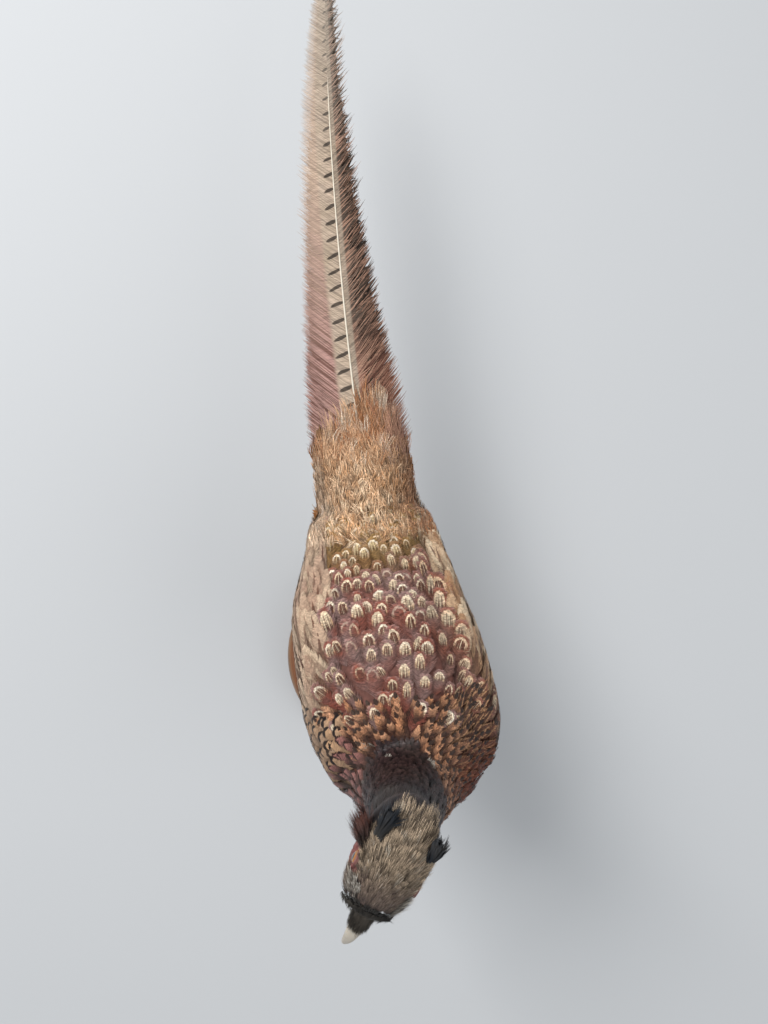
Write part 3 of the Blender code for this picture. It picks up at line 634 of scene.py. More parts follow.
class Hull:
    """A surface that plumage is laid on, with what is needed to find places on it."""

    def __init__(self, obj):
        mesh = obj.data
        mesh.calc_loop_triangles()
        self.points = numbers_of(mesh.vertices, "co")
        self.faces = numbers_of(mesh.loop_triangles, "vertices", np.int32)
        self.tree = BVHTree.FromPolygons(self.points.tolist(), self.faces.tolist())
        corners = self.points[self.faces]
        crosses = np.cross(corners[:, 1] - corners[:, 0], corners[:, 2] - corners[:, 0])
        self.areas = np.linalg.norm(crosses, axis=1) / 2
        sums = np.zeros_like(self.points)
        for corner in range(3):
            np.add.at(sums, self.faces[:, corner], crosses)
        self.normals = unit(sums)

    def nearest(self, places):
        """The hull's nearest point to each place, and its smooth normal there."""
        found = [self.tree.find_nearest(place) for place in places.tolist()]
        points = np.array([f[0] for f in found])
        corners = self.faces[[f[2] for f in found]]
        away = np.linalg.norm(self.points[corners] - points[:, None], axis=2)
        weights = 1 / np.maximum(away, 1e-6)
        return points, unit((self.normals[corners] * weights[:, :, None]).sum(1))

    def cast(self, starts, ways):
        """Where rays from starts along ways first meet the hull, for those that do."""
        hits = [self.tree.ray_cast(s, w)[0] for s, w in zip(starts.tolist(), ways.tolist())]
        return np.array([hit for hit in hits if hit is not None])

    def scatter(self, rng, spacing, region, tries=9):
        """Points spread evenly over the region, none nearer to another than spacing."""
        count = int(self.areas.sum() / spacing**2 * tries)
        picked = rng.choice(len(self.faces), count, p=self.areas / self.areas.sum())
        a, b = rng.random((2, count, 1))
        over = a + b > 1
        a, b = np.where(over, 1 - a, a), np.where(over, 1 - b, b)
        first, second, third = self.points[self.faces[picked]].transpose(1, 0, 2)
        places = first + a * (second - first) + b * (third - first)
        return thinned(places[region(places)], spacing)


def thinned(places, spacing):
    """The places, in order, that keep their distance from those kept before them."""
    cells = {}
    kept = []
    for i, place in enumerate((places / spacing).tolist()):
        cell = tuple(math.floor(c) for c in place)
        near = (
            other
            for dx in (-1, 0, 1)
            for dy in (-1, 0, 1)
            for dz in (-1, 0, 1)
            for other in cells.get((cell[0] + dx, cell[1] + dy, cell[2] + dz), ())
        )
        if all(math.dist(place, other) >= 1 for other in near):
            cells.setdefault(cell, []).append(place)
            kept.append(i)
    return places[kept]


# ---------------------------------------------------------------- plumage

BEND_STEPS = 6  # steps of a course from root to tip


def lay(hull, roots, ways, lengths, held):
    """Courses over the hull from each root along its way: points, normals and sides at each step.

    A course is held to the hull for the share of its length that held says, and is straight after it.
    """
    points, normals = hull.nearest(roots)
    if not held:
        normals = unit(normals - (ways * normals).sum(1, keepdims=True) * ways)
    path, up, beside = [], [], []
    for step in range(BEND_STEPS + 1):
        ways = unit(ways - (ways * normals).sum(1, keepdims=True) * normals)
        path.append(points)
        up.append(normals)
        beside.append(np.cross(normals, ways))
        points = points + ways * (lengths / BEND_STEPS)[:, None]
        if step + 1 <= held * BEND_STEPS:
            points, normals = hull.nearest(points)
    return np.stack(path, 1), np.stack(up, 1), np.stack(beside, 1)


def camber_of(hull, course, half_widths):
    """How fast the hull falls away to the sides of each course, per metre squared."""
    path, up, beside = course
    middle = BEND_STEPS // 2 + 1
    drops = []
    for side in (-1, 1):
        over = path[:, middle] + side * beside[:, middle] * half_widths[:, None]
        found, _ = hull.nearest(over)
        drops.append(((over - found) * up[:, middle]).sum(1))
    return np.clip(np.mean(drops, 0) / half_widths**2, -20, 60)


def blend_steps(rows, shares):
    """Values at shares of the way along rows of steps. rows is (n, steps, 3), shares (n, m)."""
    at = np.clip(shares, 0, 1) * (rows.shape[1] - 1)
    low = np.minimum(at.astype(int), rows.shape[1] - 2)
    part = (at - low)[:, :, None]
    n = np.arange(len(rows))[:, None]
    return rows[n, low] * (1 - part) + rows[n, low + 1] * part


def placed(course, along, across, height):
    """Points along, across and above courses, one row of them for each course."""
    rows = len(along)
    path, up, beside = (blend_steps(steps, along.reshape(rows, -1)) for steps in course)
    return path + beside * across.reshape(rows, -1, 1) + up * height.reshape(rows, -1, 1)


def on_unwrap(root, vane, patch):
    """Places on the bake map: each feather's own map shrunk to a patch at its root on the unwrapped skin."""
    places = unwrap(root)
    low, high = places.min(0), places.max(0)
    places = 0.03 + 0.94 * (places - low) / np.maximum(high - low, 1e-9)
    return places[:, None] + (vane - 0.5) * patch


def build_coat(name, material, vertices, faces, maps, barb, root, draws):
    """One mesh of n alike feathers of m points: their vertices, one feather's faces, maps and attributes."""
    n, m = vertices.shape[:2]
    mesh = bpy.data.meshes.new(name)
    corners = (faces[None] + (np.arange(n) * m)[:, None, None]).reshape(-1, faces.shape[1])
    mesh.vertices.add(n * m)
    mesh.vertices.foreach_set("co", vertices.reshape(-1).astype(np.float32))
    mesh.loops.add(corners.size)
    mesh.loops.foreach_set("vertex_index", corners.ravel().astype(np.int32))
    mesh.polygons.add(len(corners))
    mesh.polygons.foreach_set("loop_start", np.arange(0, corners.size, faces.shape[1], dtype=np.int32))
    for title, values in maps.items():
        layer = mesh.uv_layers.new(name=title)
        layer.data.foreach_set("uv", values.reshape(-1, 2)[corners.ravel()].ravel().astype(np.float32))
    set_numbers(mesh, "root", "FLOAT_VECTOR", np.repeat(root, m, axis=0))
    set_numbers(mesh, "draws", "FLOAT_VECTOR", np.repeat(draws, m, axis=0))
    set_numbers(mesh, "barb", "FLOAT", barb)
    mesh.update(calc_edges=True)
    mesh.validate()
    mesh.materials.append(material)
    mesh.shade_smooth()
    return add_mesh_object(name, mesh)


def strip_faces(strips, stops, side=None):
    """Quads of strips that each have two edges at every stop, all facing up on either side of a shaft."""
    quads = []
    for strip in range(strips):
        first = strip * stops * 2
        for stop in range(stops - 1):
            a = first + stop * 2
            quad = (a, a + 2, a + 3, a + 1)
            if side is None or side[strip] > 0:
                quad = quad[::-1]
            quads.append(quad)
    return np.array(quads, np.int32)


def clumped(rng, rows, strips, together):
    """Random draws that neighbouring strips share, so that barbs part in small bunches."""
    bunches = rng.normal(0, 1, (rows, strips // together + 1))
    return bunches.repeat(together, 1)[:, :strips]


def vanes(hull, rng, roots, ways, sizes, look, depth):
    """Feathers with a vane: a row of barb strips on each side of the shaft, parted here and there."""
    n = len(roots)
    lengths = look.length * sizes * rng.uniform(0.86, 1.14, n)
    widths = look.half_width * sizes * rng.uniform(0.88, 1.12, n)
    course = lay(hull, roots, ways, lengths, look.held)
    camber = camber_of(hull, course, widths)[:, None, None, None]
    count = look.barbs
    side = np.repeat([-1.0, 1.0], count)
    starts = np.tile((np.arange(count) + 0.5) / count * look.last, 2)[None, :, None, None]
    stops = np.array(look.stops)[None, None, :, None]  # shares of a barb's reach
    fill = np.array(look.fill)[None, None, :, None]  # share of the strip's width there
    # One barb's strip has two edges at each stop, so the arrays are (feather, barb, stop, edge).
    ragged = rng.normal(0, look.ragged, (n, 2 * count))[:, :, None, None]
    parted = look.parted * clumped(rng, n, 2 * count, 3)[:, :, None, None]
    edge = np.array([-0.5, 0.5])[None, None, None, :] * look.last / count
    along = starts + look.sweep * (1 - starts) * stops**1.3 + edge * fill * 1.1 + parted * stops**2
    along = np.clip(along, 0, 1)
    reach = np.broadcast_to(stops * (1 + ragged * stops), along.shape) * side[None, :, None, None]
    across = reach * look.outline(along) * widths[:, None, None, None]
    lift = depth + look.lift * rng.uniform(0.3, 1.8, n)[:, None, None, None]
    louver = np.array([0.0, -1.0])[None, None, None, :] * look.louver
    frayed = 0.5 * look.lift * clumped(rng, n, 2 * count, 2)[:, :, None, None] * stops**2
    height = -depth + lift * along**look.rise + louver + frayed
    height = height - camber * across**2 - look.curl * np.abs(reach) ** 2 * along
    vane = np.stack([0.5 + reach.reshape(n, -1) / 2, along.reshape(n, -1)], 2)
    barb = np.broadcast_to(rng.random((n, 2 * count, 1, 1)), along.shape).reshape(n, -1)
    return placed(course, along, across, height), strip_faces(2 * count, len(look.stops), -side), vane, barb


def strands(hull, rng, roots, ways, sizes, look, depth):
    """Tufts of thin strands that fan from each root."""
    n, count = len(roots), look.strands
    lengths = look.length * sizes * rng.uniform(0.75, 1.25, n)
    course = lay(hull, roots, ways, lengths, look.held)
    each = (n, count, 1, 1)
    stops = np.linspace(0, 1, look.stops)[None, None, :, None]
    start = 0.7 * rng.uniform(-1, 1, each)
    end = start * rng.uniform(1.2, 2.6, each) + rng.normal(0, 0.25, each)
    along = stops * rng.uniform(0.6, 1.0, each) + rng.uniform(0, 0.16, each)
    along = np.clip(along, 0, 1)
    bend = rng.normal(0, look.bend, each)
    middle = (start + (end - start) * stops + bend * stops**2) * look.half_width
    thin = look.strand_width * (1 - 0.82 * stops**1.6) * rng.uniform(0.7, 1.3, each)
    across = middle + np.array([-0.5, 0.5])[None, None, None, :] * thin
    lift = depth + look.lift * rng.uniform(0.0, 1.8, each)
    height = -depth + lift * along**look.rise - 0.5 * look.camber * middle**2
    shade = rng.random(each)
    along, height, shade = (np.broadcast_to(values, across.shape) for values in (along, height, shade))
    shade = shade.reshape(n, -1)
    vane = np.stack([shade, along.reshape(n, -1)], 2)
    return placed(course, along, across, height), strip_faces(count, look.stops), vane, shade


def dress(name, material, hull, rng, roots, look, depth, patch=TUFT_PATCH, ways=None, sizes=1.0):
    """A coat piece: one feather or tuft at each root, laid along its way with a little disorder."""
    if ways is None:
        ways = tailward(roots)
    turned = unit(ways + rng.normal(0, look.disorder, ways.shape))
    sizes = np.broadcast_to(sizes, len(roots))
    make = vanes if "barbs" in vars(look) else strands
    vertices, faces, vane, barb = make(hull, rng, roots, turned, sizes, look, depth)
    maps = {"OFBake": on_unwrap(roots, vane, patch), "vane": vane}
    return build_coat(name, material, vertices, faces, maps, barb, roots, rng.random((len(roots), 3)))


def round_outline(along):
    """A vane's half width along it: broad, with a round tip."""
    rise = np.clip(along / 0.3, 0, 1) ** 0.5
    fall = np.sqrt(np.clip(1 - np.clip((along - 0.5) / 0.5, 0, 1) ** 2.3, 0, 1))
    return 0.25 + 0.75 * rise * fall - 0.22 * smooth_step(along, 0.9, 1.0)


def narrow_outline(along):
    """A vane's half width along it: narrow, with a bluntly pointed tip."""
    rise = np.clip(along / 0.25, 0, 1) ** 0.5
    return 0.12 + 0.88 * rise * np.clip(1 - along**3.2, 0, 1) ** 0.7


def pointed_outline(along):
    """A lancet's half width along it: widest near the middle, with a long point."""
    rise = np.clip(along / 0.3, 0, 1) ** 0.5
    return 0.06 + 0.94 * rise * np.clip(1 - along**3, 0, 1)


def look_of(base=None, **facts):
    """A way for feathers to look: what a base look says, with some facts changed."""
    return SimpleNamespace(**(vars(base) if base else {}) | facts)


# A vane's barbs reach from the shaft over stops, as shares of their reach, and fill says how much of its
# own width each strip keeps there. Sweep turns barbs tipward, and last is where along the shaft they end.
MANTLE_LOOK = look_of(
    length=2.5 * CM, half_width=0.65 * CM, barbs=30, last=0.95, stops=(0.0, 0.38, 0.76, 1.0),
    fill=(1.0, 0.95, 0.6, 0.12), sweep=0.3, ragged=0.1, parted=0.005, outline=round_outline,
    lift=0.32 * MM, rise=0.65, louver=0.1 * MM, curl=0.2 * MM, disorder=0.1, held=1.0,
)
COPPER_LOOK = look_of(
    MANTLE_LOOK, length=1.85 * CM, half_width=0.36 * CM, barbs=15, lift=0.6 * MM, disorder=0.15,
    outline=pointed_outline,
)
NECK_LOOK = look_of(
    MANTLE_LOOK, length=1.1 * CM, half_width=0.26 * CM, barbs=7, lift=0.6 * MM, disorder=0.2,
    ragged=0.14, parted=0.04, outline=narrow_outline,
)
BREAST_LOOK = look_of(MANTLE_LOOK, length=2.0 * CM, half_width=0.42 * CM, barbs=13, disorder=0.14)
FLANK_LOOK = look_of(MANTLE_LOOK, length=2.7 * CM, half_width=0.7 * CM, barbs=12, ragged=0.09)
SHOULDER_LOOK = look_of(
    MANTLE_LOOK, length=1.9 * CM, half_width=0.52 * CM, barbs=16, fill=(1.0, 1.0, 0.9, 0.4),
    ragged=0.025, parted=0.004, disorder=0.06,
)
WING_LOOK = look_of(
    MANTLE_LOOK, length=3.6 * CM, half_width=0.62 * CM, barbs=26, ragged=0.06, parted=0.01,
    outline=narrow_outline, disorder=0.1,
)
FLIGHT_LOOK = look_of(
    MANTLE_LOOK, length=8.0 * CM, half_width=0.9 * CM, barbs=90, last=0.985, sweep=0.12,
    outline=narrow_outline, lift=0.4 * MM, ragged=0.02, parted=0.006, disorder=0.03,
)
# A tuft's strands fan over its half width and bend at random.
RUMP_LOOK = look_of(
    length=1.35 * CM, half_width=0.24 * CM, strands=13, stops=5, strand_width=0.75 * MM, bend=0.4,
    lift=1.0 * MM, rise=0.8, camber=12.0, disorder=0.34, held=1.0,
)
CROWN_LOOK = look_of(
    RUMP_LOOK, length=0.9 * CM, half_width=0.12 * CM, strands=13, strand_width=0.34 * MM,
    lift=0.45 * MM, disorder=0.06, bend=0.25, held=0.6,
)
FACE_LOOK = look_of(
    CROWN_LOOK, length=0.5 * CM, half_width=0.09 * CM, strands=7, strand_width=0.36 * MM, lift=0.3 * MM,
)
CHEEK_LOOK = look_of(CROWN_LOOK, length=1.2 * CM, half_width=0.2 * CM, held=0.0, disorder=0.2)
BILL_ROOT_LOOK = look_of(FACE_LOOK, length=0.6 * CM, half_width=0.12 * CM, lift=0.9 * MM)
CREAM_LOOK = look_of(FACE_LOOK, length=0.6 * CM, lift=1.7 * MM, held=0.3)
BROW_LOOK = look_of(CROWN_LOOK, length=0.95 * CM, half_width=0.1 * CM, lift=0.3 * MM, held=0.3)
EAR_LOOK = look_of(
    CROWN_LOOK, length=1.2 * CM, half_width=0.05 * CM, strands=12, strand_width=0.5 * MM, lift=0.3 * MM,
    held=0.3,
)
COVERT_LOOK = look_of(
    RUMP_LOOK, length=3.2 * CM, half_width=0.4 * CM, strands=22, strand_width=0.6 * MM, stops=6, bend=0.6,
    lift=1.0 * MM, disorder=0.2,
)
THIGH_LOOK = look_of(RUMP_LOOK, length=1.7 * CM, half_width=0.3 * CM, strands=11, lift=0.5 * MM, held=0.5)


def node_hull(name, *nodes):
    """A hull of the named CAD nodes as they are."""
    copy = joined_copy(name, nodes)
    hull = Hull(copy)
    bpy.data.objects.remove(copy)
    return hull


def near_nodes(places, nodes, distance):
    """Which places lie within a distance of any of these CAD nodes."""
    tree = node_hull("near_nodes", *nodes).tree
    found = [tree.find_nearest(place, distance)[0] for place in places.tolist()]
    return np.array([point is not None for point in found], bool)


BODY_MIDDLE = 19.4 * CM  # height that the back's rows fan from
OUTSIDE = 14 * CM


def back_rows(hull, rng, first, last, step, spacing, widest):
    """Roots in staggered rows across the back, from the neck towards the tail.

    Spacing and widest are angles round the body's middle, and roots are found from well outside it.
    """
    places = []
    for row, y in enumerate(np.arange(first, last, step)):
        turns = np.arange(-widest, widest, spacing) + (row % 2) * spacing / 2
        turns = turns + rng.normal(0, 0.09 * spacing, len(turns))
        ways = np.stack([np.sin(turns), 0 * turns, np.cos(turns)], 1)
        starts = np.array([0, y, BODY_MIDDLE]) + ways * OUTSIDE
        starts[:, 1] += rng.normal(0, 0.3 * step, len(turns))
        places.append(hull.cast(starts, -ways))
    return np.concatenate(places)


def keep(piece, slot, *nodes):
    """Puts a finished piece on the bird, and hides the CAD nodes it stands for. The slot argument is not
    used.
    """
    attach(piece, "root")
    if nodes:
        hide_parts(*nodes)


def finished(piece, finish, slot, *nodes):
    """Applies a piece's modifiers, gives it its finish, and keeps it with smooth shading."""
    apply_all(piece)
    piece.data.shade_smooth()
    piece.data.materials.append(finish)
    keep(piece, slot, *nodes)


# ---------------------------------------------------------------- regions of the body


def head_parts(places):
    """Each place's distance ahead of, beside and above the middle between the eyes."""
    from_eyes = places - EYE_MIDDLE
    return from_eyes @ HEAD_AHEAD, from_eyes @ HEAD_LEFT, from_eyes @ HEAD_UP


def within(values, low, high=math.inf):
    """Which values, in metres, lie between two limits in centimetres."""
    return (values > low * CM) & (values < high * CM)


def clear_of(places, *regions):
    """Which places lie in none of these regions."""
    return ~np.any([region(places) for region in regions], axis=0)


def on_head(places):
    along, _, rise = head_parts(places)
    return within(places[:, 2], 33.5) & (rise > -2.2 * CM + 0.5 * np.minimum(along, 0))


def on_bill_base(places):
    along, side, rise = head_parts(places)
    return on_head(places) & within(along, 1.8) & within(rise, -1.2) & within(side, -1.2, 1.2)


def on_pale_line(places):
    """A cream line before each eye, at the edge of the crown, longer on the bird's left."""
    along, side, rise = head_parts(places)
    reach = np.where(side > 0, within(along, -0.3, 2.05), within(along, 0.95, 1.7))
    return on_head(places) & reach & (np.abs(rise - 0.48 * CM) < 0.24 * CM) & within(np.abs(side), 0.9)


def on_crown(places):
    """The top of the head, as wide as the brows in front and narrowing back to the nape."""
    along, side, rise = head_parts(places)
    lowered = 0.8 * CM * smooth_step(along, 0.4 * CM, 1.2 * CM)
    brow = 0.5 * CM + 0.3 * np.minimum(along + 1.0 * CM, 0) - lowered
    wide = np.abs(side) < 1.95 * CM + 0.4 * np.minimum(along + 0.3 * CM, 0)
    top = (rise > brow) & wide & within(along, -2.8)
    return on_head(places) & top & clear_of(places, on_bill_base, on_pale_line)


def on_brow(places):
    along, side, rise = head_parts(places)
    edge = within(rise, 0.35, 0.95) & within(np.abs(side), 0.95)
    return on_head(places) & edge & within(along, -1.1, 0.5)


def on_ear_coverts(places):
    """The soft cheek behind the right eye."""
    along, side, rise = head_parts(places)
    return on_head(places) & within(-side, 1.1) & within(along, -1.45, -0.35) & within(rise, -0.8, 0.5)


def on_face(places):
    bare = near_nodes(places, ("wattle_left", "wattle_right"), 0.4 * MM)
    return on_head(places) & clear_of(places, on_crown, on_bill_base) & ~bare


def on_neck(places):
    """The dark neck, whose edge is higher on the bird's left and lower on its right."""
    left, right = (smooth_step(side * places[:, 0], 0.3 * CM, 1.6 * CM) for side, _ in SIDES)
    edge = 27.1 * CM + (2.4 * left - 0.4 * right) * CM
    return (places[:, 2] > edge) & (places[:, 1] < 0.3 * CM) & ~on_head(places)


def on_collar(places):
    """What is left of the white collar: a patch on the bird's left and a broken line on its right."""
    from_left = np.linalg.norm(places - np.array([1.35, -1.9, 28.1]) * CM, axis=1)
    start, end = np.array([-2.2, -1.1, 26.1]) * CM, np.array([-0.9, -1.2, 28.1]) * CM
    share = np.clip((places - start) @ (end - start) / ((end - start) ** 2).sum(), 0, 1)
    from_line = np.linalg.norm(places - start - share[:, None] * (end - start), axis=1)
    return (from_left < 0.38 * CM) | (from_line < 0.2 * CM)


def on_pale_side(places):
    """The bird's right flank from above, where the worn pale scapulars reach well onto the back."""
    x, y, z = places.T
    return within(-x, 3.75) & within(y, 0.2, 12.0) & within(z, 19.0)


def on_wings(places):
    return near_nodes(places, WINGS, 0.7 * MM) | on_pale_side(places)


def on_scales(places):
    """The bird's right shoulder and breast, where the feathers look like scales."""
    x, y, z = places.T
    front = within(-x, 3.2) & within(y, -2.9, -0.2) & within(z, 18.5)
    return front & clear_of(places, on_neck, on_head, on_wings)


def on_breast(places):
    x, y, z = places.T
    right = within(-x, 2.4) & within(-y, 0.8)
    front = ((z < 20.2 * CM) | right) & (y < 3.0 * CM) & (z < 33.0 * CM)
    return front & clear_of(places, on_wings, on_scales, on_neck, on_head)


def on_copper(places):
    front = (places[:, 1] < 0.6 * CM) & within(places[:, 2], 19.5)
    return front & clear_of(places, on_wings, on_scales, on_breast, on_neck, on_head)


def on_flank(places):
    low_side = (places[:, 2] < 19.4 * CM) & within(places[:, 1], 2.0, 12.0)
    return low_side & ~on_wings(places)


def on_rump(places):
    return within(places[:, 1], 10.9, 17.5) & within(places[:, 2], 17.2)


def over_tail(places):
    x, y, z = places.T
    tongue = 19.8 * CM - 0.75 * np.abs(x - 0.6 * CM)
    return within(y, 15.0) & (y < tongue) & within(z, 18.3)


def under_tail(places):
    return within(places[:, 1], 12.5, 20.0) & (places[:, 2] < 17.6 * CM)


# ---------------------------------------------------------------- body

DARK_SLOT = "dark_neck_feather"
# The wing coverts' ground, its other tone, and the fork on some of them.
BROWN_WING = ("#a97d59", "#dfc5a4", "#6d4a38")
PALE_WING = ("#ccb296", "#ab8a74", "#66402f")
COVERT_SHARE = 0.75  # share of the wing's roots that bear a covert
FLIGHT_SHARE = 0.22  # share that bear a flight feather


def settled(obj, level):
    """Lets the end of the upper tail coverts down to a level, so that the tail shows from under them."""
    for vertex in obj.data.vertices:
        above = vertex.co.z - level
        if above > 0:
            vertex.co.z -= above * smooth_step(vertex.co.y, 17.0 * CM, 20.5 * CM)
    obj.data.update()


def skin_and_hulls():
    """The visible skin, and the hulls of the body and the thighs that the plumage is laid on."""
    body = remeshed(joined_copy("body_hull", FLESH + WINGS), HULL_GRAIN, 6)
    settled(body, 18.95 * CM)
    thighs = remeshed(joined_copy("thigh_hull", THIGHS), HULL_GRAIN, 4)
    skin = remeshed(joined_copy("skin", FLESH + WINGS + THIGHS), HULL_GRAIN, 6)
    add_modifier(skin, "DISPLACE", strength=-SKIN_DEPTH, mid_level=0)
    apply_all(skin)
    remeshed(skin, HULL_GRAIN, 2)
    settled(skin, 17.5 * CM)
    finished(skin, skin_material(), "copper_feather", *FLESH, *THIGHS)
    hulls = Hull(body), Hull(thighs)
    for used in (body, thighs):
        bpy.data.objects.remove(used)
    return hulls


def back_feathers(hull, rng):
    """The arched feathers of the mantle, larger at its sides and smaller towards the rump."""
    roots = back_rows(hull, rng, first=-0.4 * CM, last=11.8 * CM, step=0.55 * CM, spacing=0.265, widest=1.25)
    roots = roots[~on_wings(roots) & ~on_neck(roots)]
    x, y, _ = roots.T
    middle = smooth_step(y, 2 * CM, 5 * CM)
    aside = smooth_step(np.abs(x) / (6 * CM), 0.35, 0.8)
    sizes = (0.85 + 0.1 * middle + 0.35 * aside * middle) * (1 - 0.25 * smooth_step(y, 5 * CM, 10 * CM))
    sizes = sizes * (1 + 0.35 * smooth_step(x, 2 * CM, 5 * CM) * middle)
    sizes = sizes * rng.uniform(0.85, 1.15, len(sizes))
    finish = mantle_material()
    look, depth, patch = MANTLE_LOOK, BODY_DEPTH, WIDE_PATCH
    piece = dress("mantle_feathers", finish, hull, rng, roots, look, depth, patch, None, sizes)
    keep(piece, "copper_feather")


def coats(hull, rng):
    """The rest of the body's plumage, region by region."""
    copper, dark, belly = "copper_feather", "dark_neck_feather", "dark_belly_feather"
    crown, tawny = "drab_crown_feather", "tawny_feather"
    scaled = shoulder_material()
    collar = plain_plumage("collar_feather", "#b0a494", "#ddd4c6", "#8f8478")
    cream = ("#a8998a", "#efe6d8", "#8d8070")
    brow, pale_line = (plain_plumage(f"{name}_feather", *cream) for name in ("brow", "pale_line"))
    bill_base = plain_plumage("bill_base_feather", "#1f1c19", "#3b352e", "#2a2520")
    face = plain_plumage("face_feather", "#1f1b1e", "#3c3336", "#26282f", 0.5)
    under_tail_finish = plain_plumage("under_tail_feather", "#2e1e18", "#54362a", "#3a2620")
    # name, finish, region, distance between roots in cm, look, depth, patch on the bake map, slot
    rows = (
        ("copper", copper_material(), on_copper, 0.42, COPPER_LOOK, BODY_DEPTH, VANE_PATCH, copper),
        ("breast", breast_material(), on_breast, 0.62, BREAST_LOOK, BODY_DEPTH, VANE_PATCH, copper),
        ("scaled_breast", scaled, on_scales, 0.47, SHOULDER_LOOK, BODY_DEPTH, VANE_PATCH, copper),
        ("flank", flank_material(), on_flank, 0.75, FLANK_LOOK, BODY_DEPTH, VANE_PATCH, belly),
        ("neck", neck_material(), on_neck, 0.27, NECK_LOOK, NECK_DEPTH, TUFT_PATCH, dark),
        ("collar", collar, on_collar, 0.15, FACE_LOOK, NECK_DEPTH, TUFT_PATCH, dark),
        ("crown", crown_material(), on_crown, 0.12, CROWN_LOOK, HEAD_DEPTH, TUFT_PATCH, crown),
        ("brow", brow, on_brow, 0.26, FACE_LOOK, HEAD_DEPTH, TUFT_PATCH, crown),
        ("pale_line", pale_line, on_pale_line, 0.1, CREAM_LOOK, HEAD_DEPTH, TUFT_PATCH, crown),
        ("bill_base", bill_base, on_bill_base, 0.14, FACE_LOOK, HEAD_DEPTH, TUFT_PATCH, dark),
        ("face", face, on_face, 0.145, FACE_LOOK, HEAD_DEPTH, TUFT_PATCH, dark),
        ("rump", rump_material(), on_rump, 0.27, RUMP_LOOK, BODY_DEPTH, TUFT_PATCH, tawny),
        ("tail_covert", covert_material(), over_tail, 0.52, COVERT_LOOK, BODY_DEPTH, TUFT_PATCH, tawny),
        ("under_tail", under_tail_finish, under_tail, 0.6, COVERT_LOOK, BODY_DEPTH, TUFT_PATCH, belly),
    )
    for name, finish, region, spacing, look, depth, patch, slot in rows:
        roots = hull.scatter(rng, spacing * CM, region)
        nape = smooth_step(-head_parts(roots)[0], 1.8 * CM, 3.2 * CM) * on_head(roots)
        sizes = 1 + 0.9 * nape  # longer hairs hang from the nape
        piece = dress(f"{name}_feathers", finish, hull, rng, roots, look, depth, patch, None, sizes)
        keep(piece, slot)


def wing_feathers(hull, rng):
    """Each folded wing: small shoulder feathers, long coverts behind them, flight feathers below."""
    # on each side: the shoulder's finish and look, and the coverts' finish
    finishes = {
        "left": (mantle_material(), MANTLE_LOOK, wing_material("brown_wing_feather", *BROWN_WING)),
        "right": (shoulder_material(), SHOULDER_LOOK, wing_material("pale_wing_feather", *PALE_WING)),
    }
    flight = flight_material()
    for side, word in SIDES:
        shoulder, shoulder_look, finish = finishes[word]
        front, back = f"wing_coverts_{word}", f"wing_flight_feathers_{word}"
        whole = hull.scatter(rng, 0.5 * CM, lambda p: (p[:, 0] * side > 0) & on_wings(p))
        _, y, z = whole.T
        ways = tailward(whole) - (0.0, 0.0, 0.1)
        covered = within(y, -1.2, 11.2) & (rng.random(len(whole)) < COVERT_SHARE)
        flights = within(y, 2.5, 9) & (z < 20.0 * CM) & (rng.random(len(whole)) < FLIGHT_SHARE)
        sets = (
            (f"shoulder_{word}", shoulder, y < -0.4 * CM, shoulder_look, ()),
            (f"{front}_plumage", finish, covered, WING_LOOK, (front,)),
            (f"{back}_plumage", flight, flights, FLIGHT_LOOK, (back,)),
        )
        for name, paint, chosen, look, nodes in sets:
            roots = whole[chosen]
            piece = dress(name, paint, hull, rng, roots, look, BODY_DEPTH, VANE_PATCH, ways[chosen])
            keep(piece, "buff_wing_feather", *nodes)


def tufts(name, finish, slot, hull, rng, roots, way, look, depth=HEAD_DEPTH, sizes=1.0, nodes=()):
    """A piece of tufts that lie along one way, or along a way for each."""
    ways = np.broadcast_to(way, roots.shape)
    keep(dress(name, finish, hull, rng, roots, look, depth, TUFT_PATCH, ways, sizes), slot, *nodes)


def thigh_feathers(hull, rng):
    roots = hull.scatter(rng, 0.4 * CM, lambda p: p[:, 2] < 16.5 * CM)
    finish = plain_plumage("thigh_feather", "#3a2a20", "#6d5340", "#4c372a")
    way = (0.0, 0.25, -1.0)
    tufts("thigh_feathers", finish, "dark_belly_feather", hull, rng, roots, way, THIGH_LOOK, BODY_DEPTH)


def ear_tufts(rng):
    """The two pointed tufts behind the eyes, as sprays of glossy dark strands, the right one larger."""
    finish = plain_plumage("ear_tuft_feather", "#15171b", "#2b2f35", "#1b222b", 0.45)
    for side, word in SIDES:
        node = f"ear_tuft_{word}"
        hull = node_hull("ear_hull", node)
        way = unit(-1.5 * HEAD_AHEAD - 0.35 * side * HEAD_LEFT - 0.25 * HEAD_UP)
        roots = hull.scatter(rng, 0.1 * CM, lambda p: np.abs((p - p.mean(0)) @ way) < 0.28 * CM)
        rest = {"sizes": 0.95 - 0.2 * side, "nodes": (node,)}
        tufts(f"{node}_plumage", finish, DARK_SLOT, hull, rng, roots, way, EAR_LOOK, **rest)


def ear_covert_tufts(hull, rng):
    """The soft reddish cheek behind the right eye, which stands out from the head."""
    finish = plain_plumage("ear_covert_feather", "#3f2823", "#85564a", "#5d3b33")
    roots = hull.scatter(rng, 0.08 * CM, on_ear_coverts)
    way = -0.75 * HEAD_AHEAD - 0.65 * HEAD_LEFT - 0.1 * HEAD_UP
    tufts("ear_covert_tufts", finish, DARK_SLOT, hull, rng, roots, way, CHEEK_LOOK)


